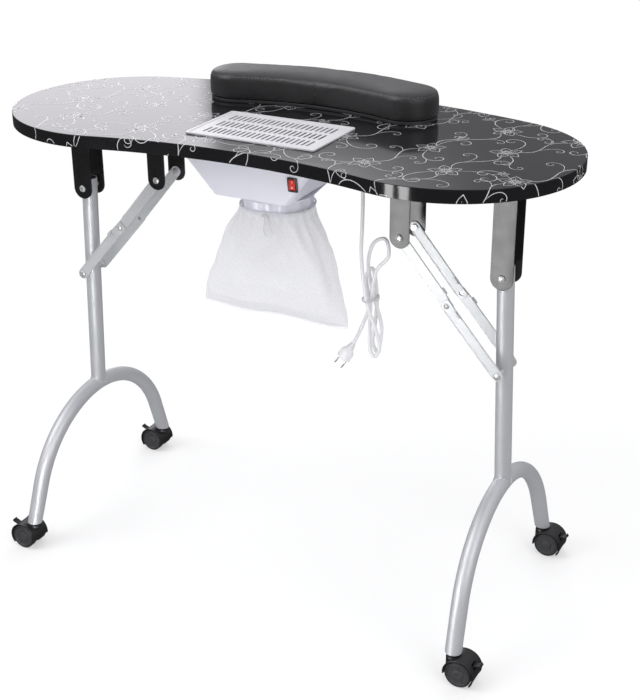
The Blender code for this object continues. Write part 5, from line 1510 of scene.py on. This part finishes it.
# ------------------------------------------------------------------ studio
bm = bmesh.new()
bmesh.ops.create_grid(bm, x_segments=1, y_segments=1, size=14)
floor = from_bm("studio_floor", bm, floor_paper(), 0)
floor.location = (0, 0, -0.0006)
floor.visible_glossy = False


def softbox(name, at, target_z, width, height, energy, glossy):
    """A soft panel light aimed at the table, unseen by the camera."""
    data = bpy.data.lights.new(name, "AREA")
    data.shape = "RECTANGLE"
    data.size, data.size_y = width, height
    data.energy = energy
    light = bpy.data.objects.new(name, data)
    scene.collection.objects.link(light)
    light.location = at
    light.rotation_mode = "QUATERNION"
    light.rotation_quaternion = (Vector((0, 0, target_z)) - Vector(at)).to_track_quat("-Z", "Y")
    light.visible_camera = False
    light.visible_glossy = glossy


# name, place, height aimed at, width, height, energy, seen in reflections
for row in (("key_softbox", (-1.6, -1.5, 2.6), 0.4, 1.8, 1.8, 36, True),
            ("fill_softbox", (2.4, -1.2, 1.8), 0.4, 1.6, 1.6, 20, True),
            ("top_softbox", (0.1, 0.5, 3.0), 0.4, 2.2, 2.2, 14, False),
            ("rear_softbox", (-0.9, 2.6, 1.5), 0.5, 1.6, 1.2, 16, False)):
    softbox(*row)

# two narrow bright panels low in front, seen only in reflections
glow = bpy.data.materials.new("reflector_glow")
glow.use_nodes = True
glow.diffuse_color = (1, 1, 1, 1)
glow_nodes = glow.node_tree.nodes
glow_nodes.remove(glow_nodes["Principled BSDF"])
emission = glow_nodes.new("ShaderNodeEmission")
emission.inputs["Strength"].default_value = 11.0
glow.node_tree.links.new(emission.outputs[0], glow_nodes["Material Output"].inputs["Surface"])
for index, (x0, x1) in enumerate(((-0.265, -0.120), (-0.030, 0.105))):
    panel = block(f"reflector_{index}", (x0, -0.905, 0.02), (x1, -0.900, 0.56), glow, 0.0)
    panel.visible_camera = panel.visible_diffuse = panel.visible_transmission = False
    panel.visible_shadow = panel.visible_volume_scatter = False

# ------------------------------------------------------------------ world
# white to the camera, an even soft light to surfaces and a painted studio to reflections
world = bpy.data.worlds.new("studio_world")
scene.world = world
world.use_nodes = True
tree = world.node_tree
tree.nodes.clear()


def world_mix(factor, first, second):
    node = tree.nodes.new("ShaderNodeMixShader")
    for socket, output in zip(node.inputs, (factor, first, second)):
        tree.links.new(output, socket)
    return node.outputs[0]


def background(colour, strength=1.0):
    node = tree.nodes.new("ShaderNodeBackground")
    node.inputs["Color"].default_value = (*colour, 1)
    node.inputs["Strength"].default_value = strength
    return node


def calc(operation, first, second=0.0):
    node = tree.nodes.new("ShaderNodeMath")
    node.operation = operation
    for socket, value in zip(node.inputs, (first, second, 0.0)):
        if hasattr(value, "links"):
            tree.links.new(value, socket)
        else:
            socket.default_value = value
    return node.outputs[0]


def rise(value, low, high):
    """0 below low, 1 above high, smooth between."""
    node = tree.nodes.new("ShaderNodeMapRange")
    node.interpolation_type = "SMOOTHSTEP"
    node.inputs["From Min"].default_value = low
    node.inputs["From Max"].default_value = high
    tree.links.new(value, node.inputs["Value"])
    return node.outputs["Result"]


def fall(value, low, high):
    return calc("SUBTRACT", 1.0, rise(value, low, high))


world_out = tree.nodes.new("ShaderNodeOutputWorld")
ray = tree.nodes.new("ShaderNodeLightPath").outputs
soft = background((0.97, 0.975, 1.0), strength=0.78)
studio = background((0.98, 0.96, 1.0))
white = background((1, 1, 1))
coord = tree.nodes.new("ShaderNodeTexCoord")
split = tree.nodes.new("ShaderNodeSeparateXYZ")
tree.links.new(coord.outputs["Generated"], split.inputs[0])

# azimuth (anticlockwise from +X) and height, in degrees
azimuth = calc("MULTIPLY", calc("ARCTAN2", split.outputs["Y"], split.outputs["X"]), 180 / math.pi)
height = calc("MULTIPLY", calc("ARCSINE", split.outputs["Z"]), 180 / math.pi)
# a bright panel behind the left of the table, and a dimmer one beside it, nearer the middle
bright_wide = calc("MULTIPLY", rise(azimuth, 122.2, 123.4), fall(azimuth, 135, 139))
bright_tall = calc("MULTIPLY", rise(height, -4, 2), fall(height, 26, 34))
bright = calc("MULTIPLY", bright_wide, bright_tall)
upper = rise(height, 24, 60)
dim = calc("MULTIPLY", rise(height, 15.8, 17.4), rise(azimuth, 109, 123))
dim = calc("MULTIPLY", dim, fall(azimuth, 123, 124))
dim = calc("MULTIPLY", dim, fall(height, 26, 34))
sky = calc("ADD", 0.26, calc("MULTIPLY", upper, 0.55))
base = calc("ADD", 0.05, calc("MULTIPLY", rise(height, -3, 3), sky))
strength = calc("ADD", calc("ADD", base, calc("MULTIPLY", bright, 2.1)),
                calc("MULTIPLY", dim, 1.5))
tree.links.new(strength, studio.inputs["Strength"])
seen = world_mix(ray["Is Camera Ray"], soft.outputs[0], white.outputs[0])
mixed = world_mix(ray["Is Glossy Ray"], seen, studio.outputs[0])
tree.links.new(mixed, world_out.inputs[0])

scene.view_settings.view_transform = "Standard"
scene.view_settings.look = "None"
scene.view_settings.exposure = 0.0

# ------------------------------------------------------------------ camera
AZIMUTH, ELEVATION, ROLL = (math.radians(angle) for angle in (28.0266, 24.8083, -0.3074))
back = Vector((math.sin(AZIMUTH) * math.cos(ELEVATION), -math.cos(AZIMUTH) * math.cos(ELEVATION),
               math.sin(ELEVATION)))
# set back along the view line from a point on it
eye = Vector((0.6624, -1.1272 - MIDDLE_Y, 0.9668)) + back * 0.6658
right = Vector((0, 0, 1)).cross(back).normalized()
up = back.cross(right)
cos, sin = math.cos(ROLL), math.sin(ROLL)
right, up = right * cos + up * sin, up * cos - right * sin
camera = bpy.data.objects.new("camera", bpy.data.cameras.new("camera"))
scene.collection.objects.link(camera)
camera.data.sensor_width = 36
camera.data.lens = 69.042857
camera.data.clip_start = 0.02
turn = Matrix((right, up, back)).transposed().to_4x4()
camera.matrix_world = Matrix.Translation(eye) @ turn
scene.camera = camera

bpy.context.view_layer.update()
